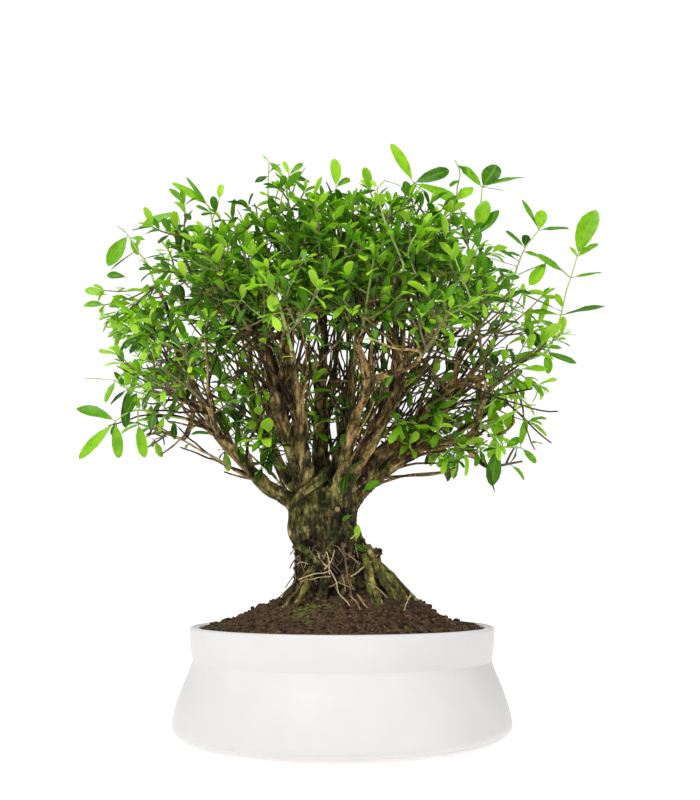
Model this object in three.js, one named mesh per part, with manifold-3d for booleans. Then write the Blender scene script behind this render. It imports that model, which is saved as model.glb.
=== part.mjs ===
// Potted serissa bonsai, standing free. Millimetres, +Z up, the front towards -Y. The origin is the centre of
// the pot's foot, on the surface it stands on. The trunk is a bundle of fused stems, limbs fan out of its
// top, and a leafy spray grows from the end of every branch.
import * as THREE from "three";
import { mergeVertices } from "three/addons/utils/BufferGeometryUtils.js";
import Module from "manifold-3d";

// Pot, radii from its axis and heights from the surface
const POT_HEIGHT = 57;
const FOOT_RADIUS = 79;
const FOOT_RING_INNER_RADIUS = 71;
const FOOT_RECESS = 2.5;
const BELLY_RADIUS = 90;
const BELLY_HEIGHT = 10;
const WAIST_RADIUS = 80.3;
const WAIST_HEIGHT = 39.5;
const WAIST_BAND = 4;
const RIM_RADIUS = 82;
const LIP_RADIUS = 2.4;
const POT_WALL = 5.6;
const INNER_BELLY_RADIUS = BELLY_RADIUS - POT_WALL - 1;
const INNER_BELLY_HEIGHT = BELLY_HEIGHT + 5;
const FLOOR_RADIUS = INNER_BELLY_RADIUS - 5;
const FLOOR_TOP = 8.5;
const DRAIN_RADIUS = 8;
const POT_SIDES = 32;

// Drain mesh, a square of net on the pot's floor
const MESH_SIDE = 30;
const MESH_THICKNESS = 1.2;
const MESH_HOLES = 3;
const MESH_HOLE_RADIUS = 3.6;
const MESH_HOLE_CORNERS = 5;

// Soil
const SOIL_RIM_HEIGHT = 50.5;
const SOIL_SLOPE = 0.4;
const SOIL_RING_RADII = [62, 47, 34, 26];

// The space between two sub-parts that touch
const GAP = 0.3;

// Trunk: its middle, half widths and the turn of its stems at each height
const TRUNK_ROWS = [
  { z: 54, x: 3, wide: 34, deep: 31 },
  { z: 62, x: 3, wide: 33, deep: 30 },
  { z: 72, x: 1, wide: 28, deep: 25 },
  { z: 90, x: -5, wide: 21.5, deep: 20 },
  { z: 110, x: -10.5, wide: 18.5, deep: 17.5 },
  { z: 124, x: -9, wide: 18.5, deep: 17 },
  { z: 134, x: -8, wide: 10, deep: 9 },
];
const STEMS = 9;
const STEM_TWIST = 0.9;
const STEM_RADIUS = 7.6;
const CORE_SHARE = 0.72;
const TRUNK_TOP_SHARE = 0.8;
const TRUNK_SIDES = 28;
const TRUNK_STEPS = 6;

// Surface roots, from the trunk down into the soil: points on each, its radius at the start and at the end
const ROOTS = [
  { points: [[8, -6, 92], [22, -8, 80], [37, -9, 68], [51, -10, 58], [58, -10, 53]], from: 7.4, to: 3 },
  { points: [[7, -13, 88], [18, -22, 75], [29, -30, 63], [38, -36, 52]], from: 6.4, to: 2.8 },
  { points: [[8, 6, 90], [24, 12, 76], [39, 19, 63], [50, 25, 52]], from: 6.8, to: 3 },
  { points: [[-6, -15, 86], [-10, -26, 73], [-15, -35, 62], [-19, -41, 53]], from: 6, to: 2.6 },
  { points: [[-20, -6, 86], [-30, -9, 73], [-40, -11, 62], [-47, -12, 53]], from: 6, to: 2.6 },
  { points: [[-17, 8, 88], [-26, 18, 74], [-34, 27, 62], [-39, 33, 53]], from: 6, to: 2.6 },
  { points: [[-2, 15, 88], [2, 26, 74], [6, 36, 62], [8, 43, 52]], from: 6.2, to: 2.6 },
];
const ROOT_SIDES = 5;
const ROOT_STEPS = 3;

// Thin aerial rootlets on the front of the trunk
const ROOTLETS = [
  { points: [[-22, -12, 118], [-29, -15, 108], [-27.5, -18, 97], [-15, -19, 90]], from: 1.6, to: 1.2 },
  {
    points: [[-3, -16, 100], [-10, -23, 90], [-19, -25, 82], [-27, -27, 70], [-28, -28, 58]],
    from: 1.5,
    to: 1,
  },
  { points: [[-12, -17, 93], [-1, -24, 85], [5, -27, 77], [9, -33, 60]], from: 1.4, to: 1 },
];
const ROOTLET_SIDES = 4;
const ROOTLET_STEPS = 5;

// Limbs, from inside the top of the trunk outwards: points on each, and its radius at the start
const LIMBS = [
  { radius: 5.6, points: [[-15, -5, 104], [-27, -8, 121], [-43, -12, 131], [-56, -15, 146], [-69, -17, 160],
    [-83, -19, 180], [-97, -20, 201]] },
  { radius: 4.4, points: [[-14, 3, 108], [-26, 0, 129], [-38, 5, 149], [-52, 10, 178], [-66, 15, 202]] },
  { radius: 5.4, points: [[-13, -7, 110], [-23, -10, 134], [-31, -18, 160], [-38, -26, 184], [-45, -32, 212],
    ] },
  { radius: 5, points: [[-11, -9, 110], [-19, -14, 135], [-23, -23, 165], [-27, -32, 191], [-31, -40, 215],
    ] },
  { radius: 5, points: [[-10, 2, 112], [-13, 4, 140], [-14, 11, 170], [-12, 18, 201], [-11, 22, 232]] },
  { radius: 4.8, points: [[-6, -8, 110], [-1, -16, 133], [5, -30, 158], [13, -42, 178], [25, -53, 206]] },
  { radius: 6.4, points: [[-5, -2, 106], [6, -4, 128], [23, -6, 148], [43, -8, 166], [61, -8, 187],
    [80, -8, 209]] },
  { radius: 5.2, points: [[-6, -6, 110], [2, -12, 131], [16, -18, 155], [27, -23, 180], [42, -29, 216]] },
  { radius: 5, points: [[-8, 6, 110], [-4, 10, 136], [1, 20, 170], [5, 30, 205], [10, 36, 236]] },
  { radius: 5.2, points: [[-4, 6, 108], [5, 10, 135], [22, 22, 168], [40, 34, 198], [56, 42, 224]] },
  { radius: 5, points: [[-12, 8, 108], [-21, 16, 137], [-36, 31, 167], [-50, 44, 196], [-60, 52, 220]] },
  { radius: 4.8, points: [[-9, 10, 110], [-10, 21, 143], [-15, 40, 176], [-18, 56, 208]] },
  { radius: 5, points: [[-3, 7, 106], [13, 14, 133], [37, 24, 156], [60, 33, 178], [80, 40, 202]] },
  { radius: 4, points: [[-3, -3, 108], [14, -3, 130], [32, -7, 144], [53, -10, 155], [74, -12, 160]] },
];
const LIMB_END_RADIUS = 1.15;
const LIMB_END_LENGTH = 9;
const LIMB_STRAIGHTNESS = 0.6;
const LIMB_SIDES = 5;
const TAPER = 1.3;
const BRANCH_FIRST_PLACE = 0.3;
const BRANCH_LAST_PLACE = 0.9;
const BRANCH_SPACING = 0.07;
const BRANCH_SIDES = 3;
const BRANCH_RADIUS = 1.6;
const BRANCH_END_RADIUS = 1.1;

// Crown: the form that the spray tips reach, measured from a centre above the trunk
const CROWN_CENTRE = new THREE.Vector3(-3, 0, 125);
const CROWN_REACH = { left: 142, right: 130, front: 106, back: 106, up: 174 };
const CROWN_ROUNDNESS = 2.9;
const CROWN_FILL = 1.2;
const SIDE_ELEVATION = 0.12;
const FRONT_ELEVATION = 0.74;
const SPRAYS = 36;
const SPRAY_START = 0.67;
const SPRAY_END = 0.97;
const GOLDEN_ANGLE = Math.PI * (3 - Math.sqrt(5));

// Long shoots that stand out of the crown: where the spray starts, a point that it bends by, and its tip
const LONG_SHOOTS = [
  { from: [96, -2, 200], by: [119, -2, 213], to: [138, -1, 268], pairs: 4, leaf: 21 },
  { from: [90, 10, 222], by: [100, 10, 244], to: [112, 8, 282], pairs: 2, leaf: 15 },
  { from: [72, -10, 262], by: [77, -10, 284], to: [82, -10, 302], pairs: 2, leaf: 17 },
  { from: [38, -14, 270], by: [41, -15, 290], to: [45, -15, 310], pairs: 2, leaf: 16 },
  { from: [-35, -26, 258], by: [-39, -29, 280], to: [-42, -30, 305], pairs: 3, leaf: 12 },
  { from: [-4, -18, 272], by: [-3, -20, 288], to: [-3, -20, 303], pairs: 1, leaf: 14 },
  { from: [-70, 0, 266], by: [-75, 0, 282], to: [-80, 0, 300], pairs: 1, leaf: 16 },
  { from: [-92, 4, 262], by: [-99, 5, 276], to: [-107, 5, 290], pairs: 1, leaf: 15 },
  { from: [-108, -6, 246], by: [-117, -5, 256], to: [-126, -5, 266], pairs: 1, leaf: 16 },
  { from: [-86, -13, 167], by: [-108, -13, 173], to: [-130, -12, 160], pairs: 3, leaf: 19 },
  { from: [72, -13, 157], by: [87, -15, 160], to: [103, -17, 148], pairs: 3, leaf: 18 },
  { from: [27, -66, 232], by: [25, -71, 252], to: [20, -76, 276], pairs: 2, leaf: 11 },
];

// Twigs and blades
const SIDE_TWIG_NODE = 0.2;
const SIDE_NODES = [0.6, 0.95];
const NODE_LENGTH = 1.3;
const TWIG_RADIUS = 0.95;
const TWIG_TIP_RADIUS = 0.7;
const CLEAR_OF_BRANCH = 0.08;
const SHORTEST_SIDE_TWIG = 0.62;
const LONGEST_SIDE_TWIG = 0.8;
const LEAF_LENGTH = 13.5;
const LEAF_WIDTH_SHARE = 0.42;
const BLADE_THICKNESS = 0.95;
const LEAF_CLEARANCE = 0.35;
const FOOT_LENGTH = 2.2;

// A face lower than this over its longest edge is a sliver. An edge shorter than this can be drawn together
const SLIVER_HEIGHT = 0.01;
const SHORT_EDGE = 0.12;

const wasm = await Module();
wasm.setup();

const mix = (a, b, share) => a + (b - a) * share;
const vector = (xyz) => new THREE.Vector3(...xyz);

// Seeded draws between 0 and 1, the same on every run.
function drawsFrom(seed) {
  let state = (seed * 7919 + 104729) % 4294967296;
  const draw = () => {
    state = (state * 1664525 + 1013904223) % 4294967296;
    return state / 4294967296;
  };
  draw();
  draw();
  return draw;
}

function solidFrom(geometry) {
  geometry.deleteAttribute("normal");
  geometry.deleteAttribute("uv");
  const merged = mergeVertices(geometry, 1e-4);
  const vertProperties = new Float32Array(merged.attributes.position.array);
  const triVerts = new Uint32Array(merged.index.array);
  return new wasm.Manifold(new wasm.Mesh({ numProp: 3, vertProperties, triVerts }));
}

function geometryFrom(points, faces) {
  const geometry = new THREE.BufferGeometry().setFromPoints(points);
  geometry.setIndex(faces.flat());
  geometry.computeVertexNormals();
  return geometry;
}

// A face's height over its longest edge.
function faceHeight(points, face) {
  const [a, b, c] = face.map((i) => points[i]);
  const longest = Math.max(a.distanceTo(b), b.distanceTo(c), c.distanceTo(a));
  return b.clone().sub(a).cross(c.clone().sub(a)).length() / longest;
}

// The corners of a face, turned so that the edge between the first two is its longest or its shortest.
function startingAtEdge(points, [a, b, c], isBetter) {
  const turns = [[a, b, c], [b, c, a], [c, a, b]];
  const length = ([from, to]) => points[from].distanceTo(points[to]);
  return turns.reduce((best, turn) => (isBetter(length(turn), length(best)) ? turn : best));
}

// The faces with an edge drawn together into its first point, or null where that would pinch the skin.
function edgeDrawnTogether(faces, p, q) {
  const around = (i) => new Set(faces.filter((face) => face.includes(i)).flat());
  const common = [...around(p)].filter((i) => around(q).has(i) && i !== p && i !== q);
  if (common.length !== 2) return null;
  return faces
    .filter((face) => !(face.includes(p) && face.includes(q)))
    .map((face) => face.map((i) => (i === q ? p : i)));
}

// The faces with an edge turned to the other diagonal of the two faces beside it, or null where that fails.
function edgeTurned(points, faces, [p, q, r]) {
  const isBeside = (face) => face.some((i, k) => i === q && face[(k + 1) % 3] === p);
  const beside = faces.find(isBeside);
  const s = beside.find((i) => i !== p && i !== q);
  if (faces.some((face) => face.includes(r) && face.includes(s))) return null;
  const turned = [[p, s, r], [s, q, r]];
  if (turned.some((face) => faceHeight(points, face) < SLIVER_HEIGHT)) return null;
  const isSliver = (face) => face.includes(p) && face.includes(q) && face.includes(r);
  return [...faces.filter((face) => face !== beside && !isSliver(face)), ...turned];
}

// The skin of a solid without the slivers that joins and cuts leave in it.
function skinOf(solid) {
  const mesh = solid.getMesh();
  const count = (list) => ({ length: list.length / 3 });
  const threes = (list) => Array.from(count(list), (_, i) => [...list.slice(3 * i, 3 * i + 3)]);
  const points = threes(mesh.vertProperties).map(vector);
  let faces = threes(mesh.triVerts);
  const isThin = (face) => faceHeight(points, face) < SLIVER_HEIGHT;
  let thin = faces.filter(isThin);
  while (thin.length > 0) {
    const sliver = thin.pop();
    const [p, q] = startingAtEdge(points, sliver, (a, b) => a < b);
    const isShort = points[p].distanceTo(points[q]) < SHORT_EDGE;
    const long = startingAtEdge(points, sliver, (a, b) => a > b);
    const mended = (isShort && edgeDrawnTogether(faces, p, q)) || edgeTurned(points, faces, long);
    if (mended) {
      faces = mended;
      thin = faces.filter(isThin);
    }
  }
  return geometryFrom(points, faces);
}

// The outer skin of a solid's largest body: loose scraps go, and a hollow that fusing has sealed is filled.
function largestBody(solid) {
  return solid.decompose().reduce((a, b) => (b.volume() > a.volume() ? b : a));
}

const evenStops = (steps) => Array.from({ length: steps + 1 }, (_, i) => i / steps);

// A closed tube along a curve, with its own radius at each stop.
function tube(curve, radiusAt, sides, stops) {
  const steps = stops.length - 1;
  const geometry = new THREE.CylinderGeometry(1, 1, 1, sides, steps);
  const rings = [];
  const normal = new THREE.Vector3(0.31, -0.87, 0.38);
  for (const stop of stops) {
    const tangent = curve.getTangent(stop);
    normal.addScaledVector(tangent, -normal.dot(tangent)).normalize();
    rings.push({
      centre: curve.getPoint(stop),
      normal: normal.clone(),
      side: normal.clone().cross(tangent),
      radius: radiusAt(stop),
    });
  }
  const position = geometry.attributes.position;
  for (let i = 0; i < position.count; i += 1) {
    const ring = rings[Math.round((position.getY(i) + 0.5) * steps)];
    const point = ring.centre.clone();
    point.addScaledVector(ring.normal, position.getX(i) * ring.radius);
    point.addScaledVector(ring.side, position.getZ(i) * ring.radius);
    position.setXYZ(i, point.x, point.y, point.z);
  }
  return solidFrom(geometry);
}

const smoothCurve = (points) => new THREE.CatmullRomCurve3(points, false, "catmullrom", 0.5);

function taperedTube(points, from, to, sides, steps) {
  return tube(smoothCurve(points), (t) => mix(to, from, (1 - t) ** TAPER), sides, evenStops(steps));
}

// Pot

function arcPoints(x, y, radius, fromAngle, toAngle, steps) {
  return Array.from({ length: steps + 1 }, (_, i) => {
    const angle = mix(fromAngle, toAngle, i / steps);
    return new THREE.Vector2(x + radius * Math.cos(angle), y + radius * Math.sin(angle));
  });
}

function potGeometry() {
  const turn = Math.PI / 2;
  const lipHeight = POT_HEIGHT - LIP_RADIUS;
  const lipCentre = RIM_RADIUS - LIP_RADIUS;
  const profile = [
    new THREE.Vector2(FOOT_RADIUS, 0),
    ...arcPoints(BELLY_RADIUS - BELLY_HEIGHT, BELLY_HEIGHT, BELLY_HEIGHT, -0.75 * turn, 0.2 * turn, 3),
    new THREE.Vector2(WAIST_RADIUS + GAP, WAIST_HEIGHT),
    new THREE.Vector2(WAIST_RADIUS, WAIST_HEIGHT + WAIST_BAND),
    ...arcPoints(lipCentre, lipHeight, LIP_RADIUS, 0, 2 * turn, 2),
    new THREE.Vector2(WAIST_RADIUS - POT_WALL, WAIST_HEIGHT),
    new THREE.Vector2(INNER_BELLY_RADIUS, INNER_BELLY_HEIGHT),
    new THREE.Vector2(FLOOR_RADIUS, FLOOR_TOP),
    new THREE.Vector2(DRAIN_RADIUS, FLOOR_TOP),
    new THREE.Vector2(DRAIN_RADIUS, FOOT_RECESS),
    new THREE.Vector2(FOOT_RING_INNER_RADIUS - 1, FOOT_RECESS),
    new THREE.Vector2(FOOT_RING_INNER_RADIUS, 0),
    new THREE.Vector2(FOOT_RADIUS, 0),
  ];
  return new THREE.LatheGeometry(profile, POT_SIDES).rotateX(turn);
}

// Drain mesh

// The corners of a polygon round a centre, the first of them turned by an angle.
function polygonPoints(x, y, radius, corners, turn) {
  return Array.from({ length: corners }, (_, i) => {
    const angle = (i / corners) * Math.PI * 2 + turn;
    return new THREE.Vector2(x + radius * Math.cos(angle), y + radius * Math.sin(angle));
  });
}

function drainMeshGeometry() {
  const shape = new THREE.Shape(polygonPoints(0, 0, MESH_SIDE * Math.SQRT1_2, 4, Math.PI / 4));
  const middle = (MESH_HOLES - 1) / 2;
  const pitch = MESH_SIDE / MESH_HOLES;
  for (let i = 0; i < MESH_HOLES; i += 1) {
    for (let j = 0; j < MESH_HOLES; j += 1) {
      const x = (i - middle) * pitch;
      const y = (j - middle) * pitch;
      const hole = polygonPoints(x, y, MESH_HOLE_RADIUS, MESH_HOLE_CORNERS, 0.2 + i + j);
      shape.holes.push(new THREE.Path(hole));
    }
  }
  const geometry = new THREE.ExtrudeGeometry(shape, { depth: MESH_THICKNESS, bevelEnabled: false });
  return geometry.translate(0, 0, FLOOR_TOP + GAP);
}

// Wood

function trunkAt(z) {
  const above = Math.max(1, TRUNK_ROWS.findIndex((row) => row.z >= z));
  const low = TRUNK_ROWS[above - 1];
  const high = TRUNK_ROWS[above];
  const share = (z - low.z) / (high.z - low.z);
  return {
    x: mix(low.x, high.x, share),
    wide: mix(low.wide, high.wide, share),
    deep: mix(low.deep, high.deep, share),
  };
}

const trunkBottom = TRUNK_ROWS[0].z;
const trunkTop = TRUNK_ROWS[TRUNK_ROWS.length - 1].z;

// The stems that are fused into the trunk: each one's turn round the trunk's middle and its radius.
const STEM_PLANS = Array.from({ length: STEMS }, (_, i) => {
  const draw = drawsFrom(500 + i);
  return {
    start: ((i + mix(-0.2, 0.2, draw())) / STEMS) * Math.PI * 2,
    radius: STEM_RADIUS * mix(0.82, 1.15, draw()),
    sway: mix(-0.25, 0.25, draw()),
  };
});

// How far the trunk's skin is from its middle, in one direction at one height: to the furthest stem or core.
function trunkSkin(angle, z) {
  const row = trunkAt(z);
  const share = (z - trunkBottom) / (trunkTop - trunkBottom);
  const core = CORE_SHARE * Math.hypot(row.wide * Math.cos(angle), row.deep * Math.sin(angle));
  return STEM_PLANS.reduce((furthest, stem) => {
    const turn = stem.start + STEM_TWIST * share + stem.sway * Math.sin(share * Math.PI * 2);
    const radius = stem.radius * mix(1.25, 0.95, share);
    const x = Math.cos(turn) * (row.wide - radius);
    const y = Math.sin(turn) * (row.deep - radius);
    const near = x * Math.cos(angle) + y * Math.sin(angle);
    const depth = radius * radius - (x * x + y * y - near * near);
    return depth > 0 ? Math.max(furthest, near + Math.sqrt(depth)) : furthest;
  }, core);
}

function trunkSolid(extra) {
  const geometry = new THREE.CylinderGeometry(1, 1, 1, TRUNK_SIDES, TRUNK_STEPS);
  const position = geometry.attributes.position;
  for (let i = 0; i < position.count; i += 1) {
    const share = position.getY(i) + 0.5;
    const z = mix(trunkBottom, trunkTop, share);
    const angle = Math.atan2(-position.getZ(i), position.getX(i));
    const onAxis = Math.hypot(position.getX(i), position.getZ(i)) < 0.5;
    const reach = onAxis ? 0 : trunkSkin(angle, z) * (share > 0.99 ? TRUNK_TOP_SHARE : 1) + extra;
    const x = trunkAt(z).x + Math.cos(angle) * reach;
    position.setXYZ(i, x, Math.sin(angle) * reach, share < 0.01 ? z - extra : z);
  }
  return solidFrom(geometry);
}

// A root, and its hole in the soil where extra is the space round it.
function rootSolid(root, sides, steps, extra) {
  const points = root.points.map(vector);
  const last = points[points.length - 1];
  const before = points[points.length - 2];
  last.addScaledVector(last.clone().sub(before).normalize(), extra);
  return taperedTube(points, root.from + extra, root.to + extra, sides, steps);
}

function rootSolids(extra) {
  return [
    ...ROOTS.map((root) => rootSolid(root, ROOT_SIDES, ROOT_STEPS, extra)),
    ...ROOTLETS.map((root) => rootSolid(root, ROOTLET_SIDES, ROOTLET_STEPS, extra)),
  ];
}

// Crown

function crownReach(direction) {
  const across = direction.x < 0 ? CROWN_REACH.left : CROWN_REACH.right;
  const along = direction.y < 0 ? CROWN_REACH.front : CROWN_REACH.back;
  const sum =
    (Math.abs(direction.x) / across) ** CROWN_ROUNDNESS +
    (Math.abs(direction.y) / along) ** CROWN_ROUNDNESS +
    (Math.abs(direction.z) / CROWN_REACH.up) ** CROWN_ROUNDNESS;
  return sum ** (-1 / CROWN_ROUNDNESS);
}

// Spray directions, spread over the crown as seeds are on a flower head. The crown hangs lower at its sides
// than at its front and back.
function crownDirection(index) {
  const azimuth = index * GOLDEN_ANGLE;
  const lowest = mix(SIDE_ELEVATION, FRONT_ELEVATION, Math.abs(Math.sin(azimuth)) ** 1.4);
  const height = 1 - ((index + 0.5) / SPRAYS) ** CROWN_FILL * (1 - Math.sin(lowest));
  const level = Math.sqrt(1 - height * height);
  return new THREE.Vector3(Math.cos(azimuth) * level, Math.sin(azimuth) * level, height);
}

const numbered = (name, i) => `${name}_${String(i + 1).padStart(2, "0")}`;

function sprayPlan(i) {
  const direction = crownDirection(i);
  const reach = crownReach(direction);
  const draw = drawsFrom(1000 + i);
  const at = (share) => CROWN_CENTRE.clone().addScaledVector(direction, reach * share);
  const from = at(mix(SPRAY_START - 0.04, SPRAY_START + 0.04, draw()));
  const to = at(mix(SPRAY_END - 0.05, SPRAY_END, draw()));
  const by = from.clone().lerp(to, 0.5);
  by.z += mix(-3, 5, draw());
  return { name: numbered("leafy_spray", i), seed: 2000 + 50 * i, from, by, to, long: false };
}

function shootPlan(shoot, i) {
  const [from, by, to] = [shoot.from, shoot.by, shoot.to].map(vector);
  const { pairs, leaf } = shoot;
  return { name: numbered("long_shoot", i), seed: 6000 + 50 * i, from, by, to, long: true, pairs, leaf };
}

const plans = [...Array.from({ length: SPRAYS }, (_, i) => sprayPlan(i)), ...LONG_SHOOTS.map(shootPlan)];

// What it costs to reach a point from a place on a limb: the way's length, and more where the way bends back.
function wayCost(curve, t, target) {
  const way = target.clone().sub(curve.getPoint(t));
  const length = way.length();
  return length * (1.6 - 0.6 * curve.getTangent(t).dot(way.normalize()));
}

// Every limb runs on into the spray that its end reaches most easily. Other sprays have their own branches.
const limbEnds = [];
LIMBS.forEach((limb) => {
  const curve = smoothCurve(limb.points.map(vector));
  const free = plans.filter((plan) => !limbEnds.includes(plan));
  const cost = (plan) => wayCost(curve, 1, plan.from);
  limbEnds.push(free.reduce((a, b) => (cost(b) < cost(a) ? b : a)));
});

const sprayWay = (plan) => plan.by.clone().sub(plan.from).normalize();

// A limb's way into its spray, without any last points that would make it turn back.
function limbCurve(limb, index) {
  const spray = limbEnds[index];
  const points = limb.points.map(vector);
  const arrive = spray.from.clone().addScaledVector(sprayWay(spray), -LIMB_END_LENGTH);
  const straightness = ([before, last]) => {
    const onward = arrive.clone().sub(last).normalize();
    return last.clone().sub(before).normalize().dot(onward);
  };
  while (straightness(points.slice(-2)) < LIMB_STRAIGHTNESS) points.pop();
  return smoothCurve([...points, arrive, spray.from]);
}

const limbCurves = LIMBS.map(limbCurve);

function limbSolid(limb, index) {
  const curve = limbCurves[index];
  const radiusAt = (t) => mix(LIMB_END_RADIUS, limb.radius, (1 - t) ** TAPER);
  return tube(curve, radiusAt, LIMB_SIDES, evenStops(curve.points.length - 1));
}

// The place on a limb from which a branch reaches a point in the shortest and straightest way. Each place is
// used once, and no two on a limb are close together.
const taken = [];
function branchStart(target) {
  let best = { cost: Infinity };
  limbCurves.forEach((curve) => {
    for (let t = BRANCH_FIRST_PLACE; t < BRANCH_LAST_PLACE; t += 0.04) {
      const isFree = taken.every((other) => other.curve !== curve || Math.abs(other.t - t) > BRANCH_SPACING);
      const cost = wayCost(curve, t, target);
      if (isFree && cost < best.cost) best = { cost, curve, t };
    }
  });
  taken.push(best);
  return best;
}

function branchSolid(plan) {
  const draw = drawsFrom(plan.seed + 30);
  const start = branchStart(plan.from);
  const from = start.curve.getPoint(start.t);
  from.add(vector([0, 1, 2].map(() => mix(-0.4, 0.4, draw()))));
  const length = from.distanceTo(plan.from);
  const leave = from.clone().addScaledVector(start.curve.getTangent(start.t), length * 0.35);
  const arrive = plan.from.clone().addScaledVector(sprayWay(plan), -length * 0.3);
  const curve = new THREE.CubicBezierCurve3(from, leave, arrive, plan.from);
  return tube(curve, (t) => mix(BRANCH_RADIUS, BRANCH_END_RADIUS, t), BRANCH_SIDES, evenStops(2));
}

const woodSolids = [
  trunkSolid(0),
  ...rootSolids(0),
  ...LIMBS.map(limbSolid),
  ...plans.filter((plan) => !limbEnds.includes(plan)).map(branchSolid),
];

// Sprays

const quadraticCurve = (from, by, to) => new THREE.QuadraticBezierCurve3(from, by, to);

// A direction at right angles to a twig, turned round it by an angle.
function aroundTwig(along, angle) {
  const level = new THREE.Vector3(0, 0, 1).cross(along);
  if (level.length() < 0.05) level.set(1, 0, 0);
  level.normalize();
  const upper = along.clone().cross(level).normalize();
  return level.multiplyScalar(Math.cos(angle)).addScaledVector(upper, Math.sin(angle));
}

// The main twig of a spray, with its tip moved aside by a share of the spray's reach.
function mainCurve(plan, aside, angle) {
  const start = plan.from.clone().addScaledVector(sprayWay(plan), GAP);
  const reach = plan.to.distanceTo(plan.from);
  const to = plan.to.clone().addScaledVector(aroundTwig(sprayWay(plan), angle), aside * reach);
  return quadraticCurve(start, plan.by, to);
}

// The two side twigs of a spray, which leave its main twig at one node.
function sideCurves(plan, main, turn, draw) {
  const at = main.getPoint(SIDE_TWIG_NODE);
  const along = main.getTangent(SIDE_TWIG_NODE);
  const reach = plan.to.distanceTo(plan.from);
  return [0, 1].map((i) => {
    const out = aroundTwig(along, turn + i * Math.PI);
    const length = reach * mix(SHORTEST_SIDE_TWIG, LONGEST_SIDE_TWIG, draw());
    const by = at.clone().addScaledVector(along, length * 0.22).addScaledVector(out, length * 0.36);
    const to = at.clone().addScaledVector(along, length * 0.66).addScaledVector(out, length * 0.66);
    to.z += length * mix(-0.04, 0.14, draw());
    return { curve: quadraticCurve(at, by, to), seed: plan.seed + 1 + i };
  });
}

// Where a blade grows: its foot, the way it points, the way its face looks, and its length.
function leafPlan(at, along, out, spread, length, draw) {
  const axis = along.clone().multiplyScalar(Math.cos(spread)).addScaledVector(out, Math.sin(spread));
  axis.z += mix(-0.3, 0.12, draw());
  axis.normalize();
  const outward = at.clone().sub(CROWN_CENTRE).normalize();
  const face = new THREE.Vector3(mix(-0.35, 0.35, draw()), mix(-0.35, 0.35, draw()), 0.85);
  face.addScaledVector(outward, 0.45);
  face.addScaledVector(axis, -face.dot(axis)).normalize();
  return { at, axis, face, side: face.clone().cross(axis), length: length * mix(0.85, 1.15, draw()) };
}

// The corners of an oval blade beyond its foot: flat below, ridged above, arched along its length. extra
// makes it slightly larger, to test whether it is clear of its neighbours.
function bladeCorners(leaf, extra) {
  const half = (leaf.length * LEAF_WIDTH_SHARE) / 2 + extra;
  const arch = (share) => leaf.length * (0.3 * share * (1 - share) - 0.1 * share * share);
  const corner = (share, across, height) =>
    leaf.at.clone()
      .addScaledVector(leaf.axis, share * (leaf.length + extra))
      .addScaledVector(leaf.side, across * half)
      .addScaledVector(leaf.face, arch(share) + height);
  return [
    corner(0.34, -0.95, -extra),
    corner(0.34, 0.95, -extra),
    corner(0.7, -0.88, -extra),
    corner(0.7, 0.88, -extra),
    corner(1, 0, 0),
    corner(0.5, 0, BLADE_THICKNESS + extra),
  ];
}

// The triangles of a blade between its foot's four corners, 0 to 3, and those of bladeCorners, 4 to 9.
const BLADE_FACES = [
  [0, 1, 4], [1, 5, 4], [4, 5, 6], [5, 7, 6], [6, 7, 8], [0, 4, 3], [1, 2, 5],
  [3, 9, 2], [3, 4, 9], [4, 6, 9], [6, 8, 9], [8, 7, 9], [7, 5, 9], [5, 2, 9],
];

// A blade with the space round it, from a distance beyond its foot.
function bladeProbe(leaf, start) {
  const foot = [[-1, -1], [1, -1], [1, 1], [-1, 1]].map(([across, up]) =>
    leaf.at.clone()
      .addScaledVector(leaf.axis, start)
      .addScaledVector(leaf.side, across * TWIG_RADIUS)
      .addScaledVector(leaf.face, up * LEAF_CLEARANCE),
  );
  const points = [...foot, ...bladeCorners(leaf, LEAF_CLEARANCE)];
  return solidFrom(geometryFrom(points, [...BLADE_FACES, [0, 3, 2], [0, 2, 1]]));
}

const boxOf = (solid) => {
  const { min, max } = solid.boundingBox();
  return new THREE.Box3(vector(min), vector(max));
};

// Solids already placed, with the node that each belongs to. A blade's foot stands on its own twig, so within
// the node only the rest of the blade counts.
const placed = [];

function place(owner, solid, withoutFoot = solid) {
  placed.push({ owner, solid, withoutFoot, box: boxOf(solid) });
}

woodSolids.forEach((solid) => place("wood", solid));

const overlap = (a, b) => a.intersect(b).volume() > 1e-6;

function crossesOther(owner, solid) {
  const box = boxOf(solid);
  const near = placed.filter((other) => other.owner !== owner && other.box.intersectsBox(box));
  return near.some((other) => overlap(other.solid, solid));
}

function crossesOwn(owner, solid) {
  const box = boxOf(solid);
  const near = placed.filter((other) => other.owner === owner && other.box.intersectsBox(box));
  return near.some((other) => overlap(other.withoutFoot, solid));
}

const twigRadius = (t) => mix(TWIG_RADIUS, TWIG_TIP_RADIUS, t);
const twigProbe = (curve, stops) => tube(curve, (t) => twigRadius(t) + LEAF_CLEARANCE, 4, stops);

// Where the nodes are along a spray's main twig.
function mainNodes(plan) {
  if (!plan.long) return [SIDE_TWIG_NODE, 0.66, 0.96];
  if (plan.pairs === 1) return [0.92];
  return Array.from({ length: plan.pairs }, (_, i) => mix(0.4, 0.96, i / (plan.pairs - 1)));
}

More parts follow.
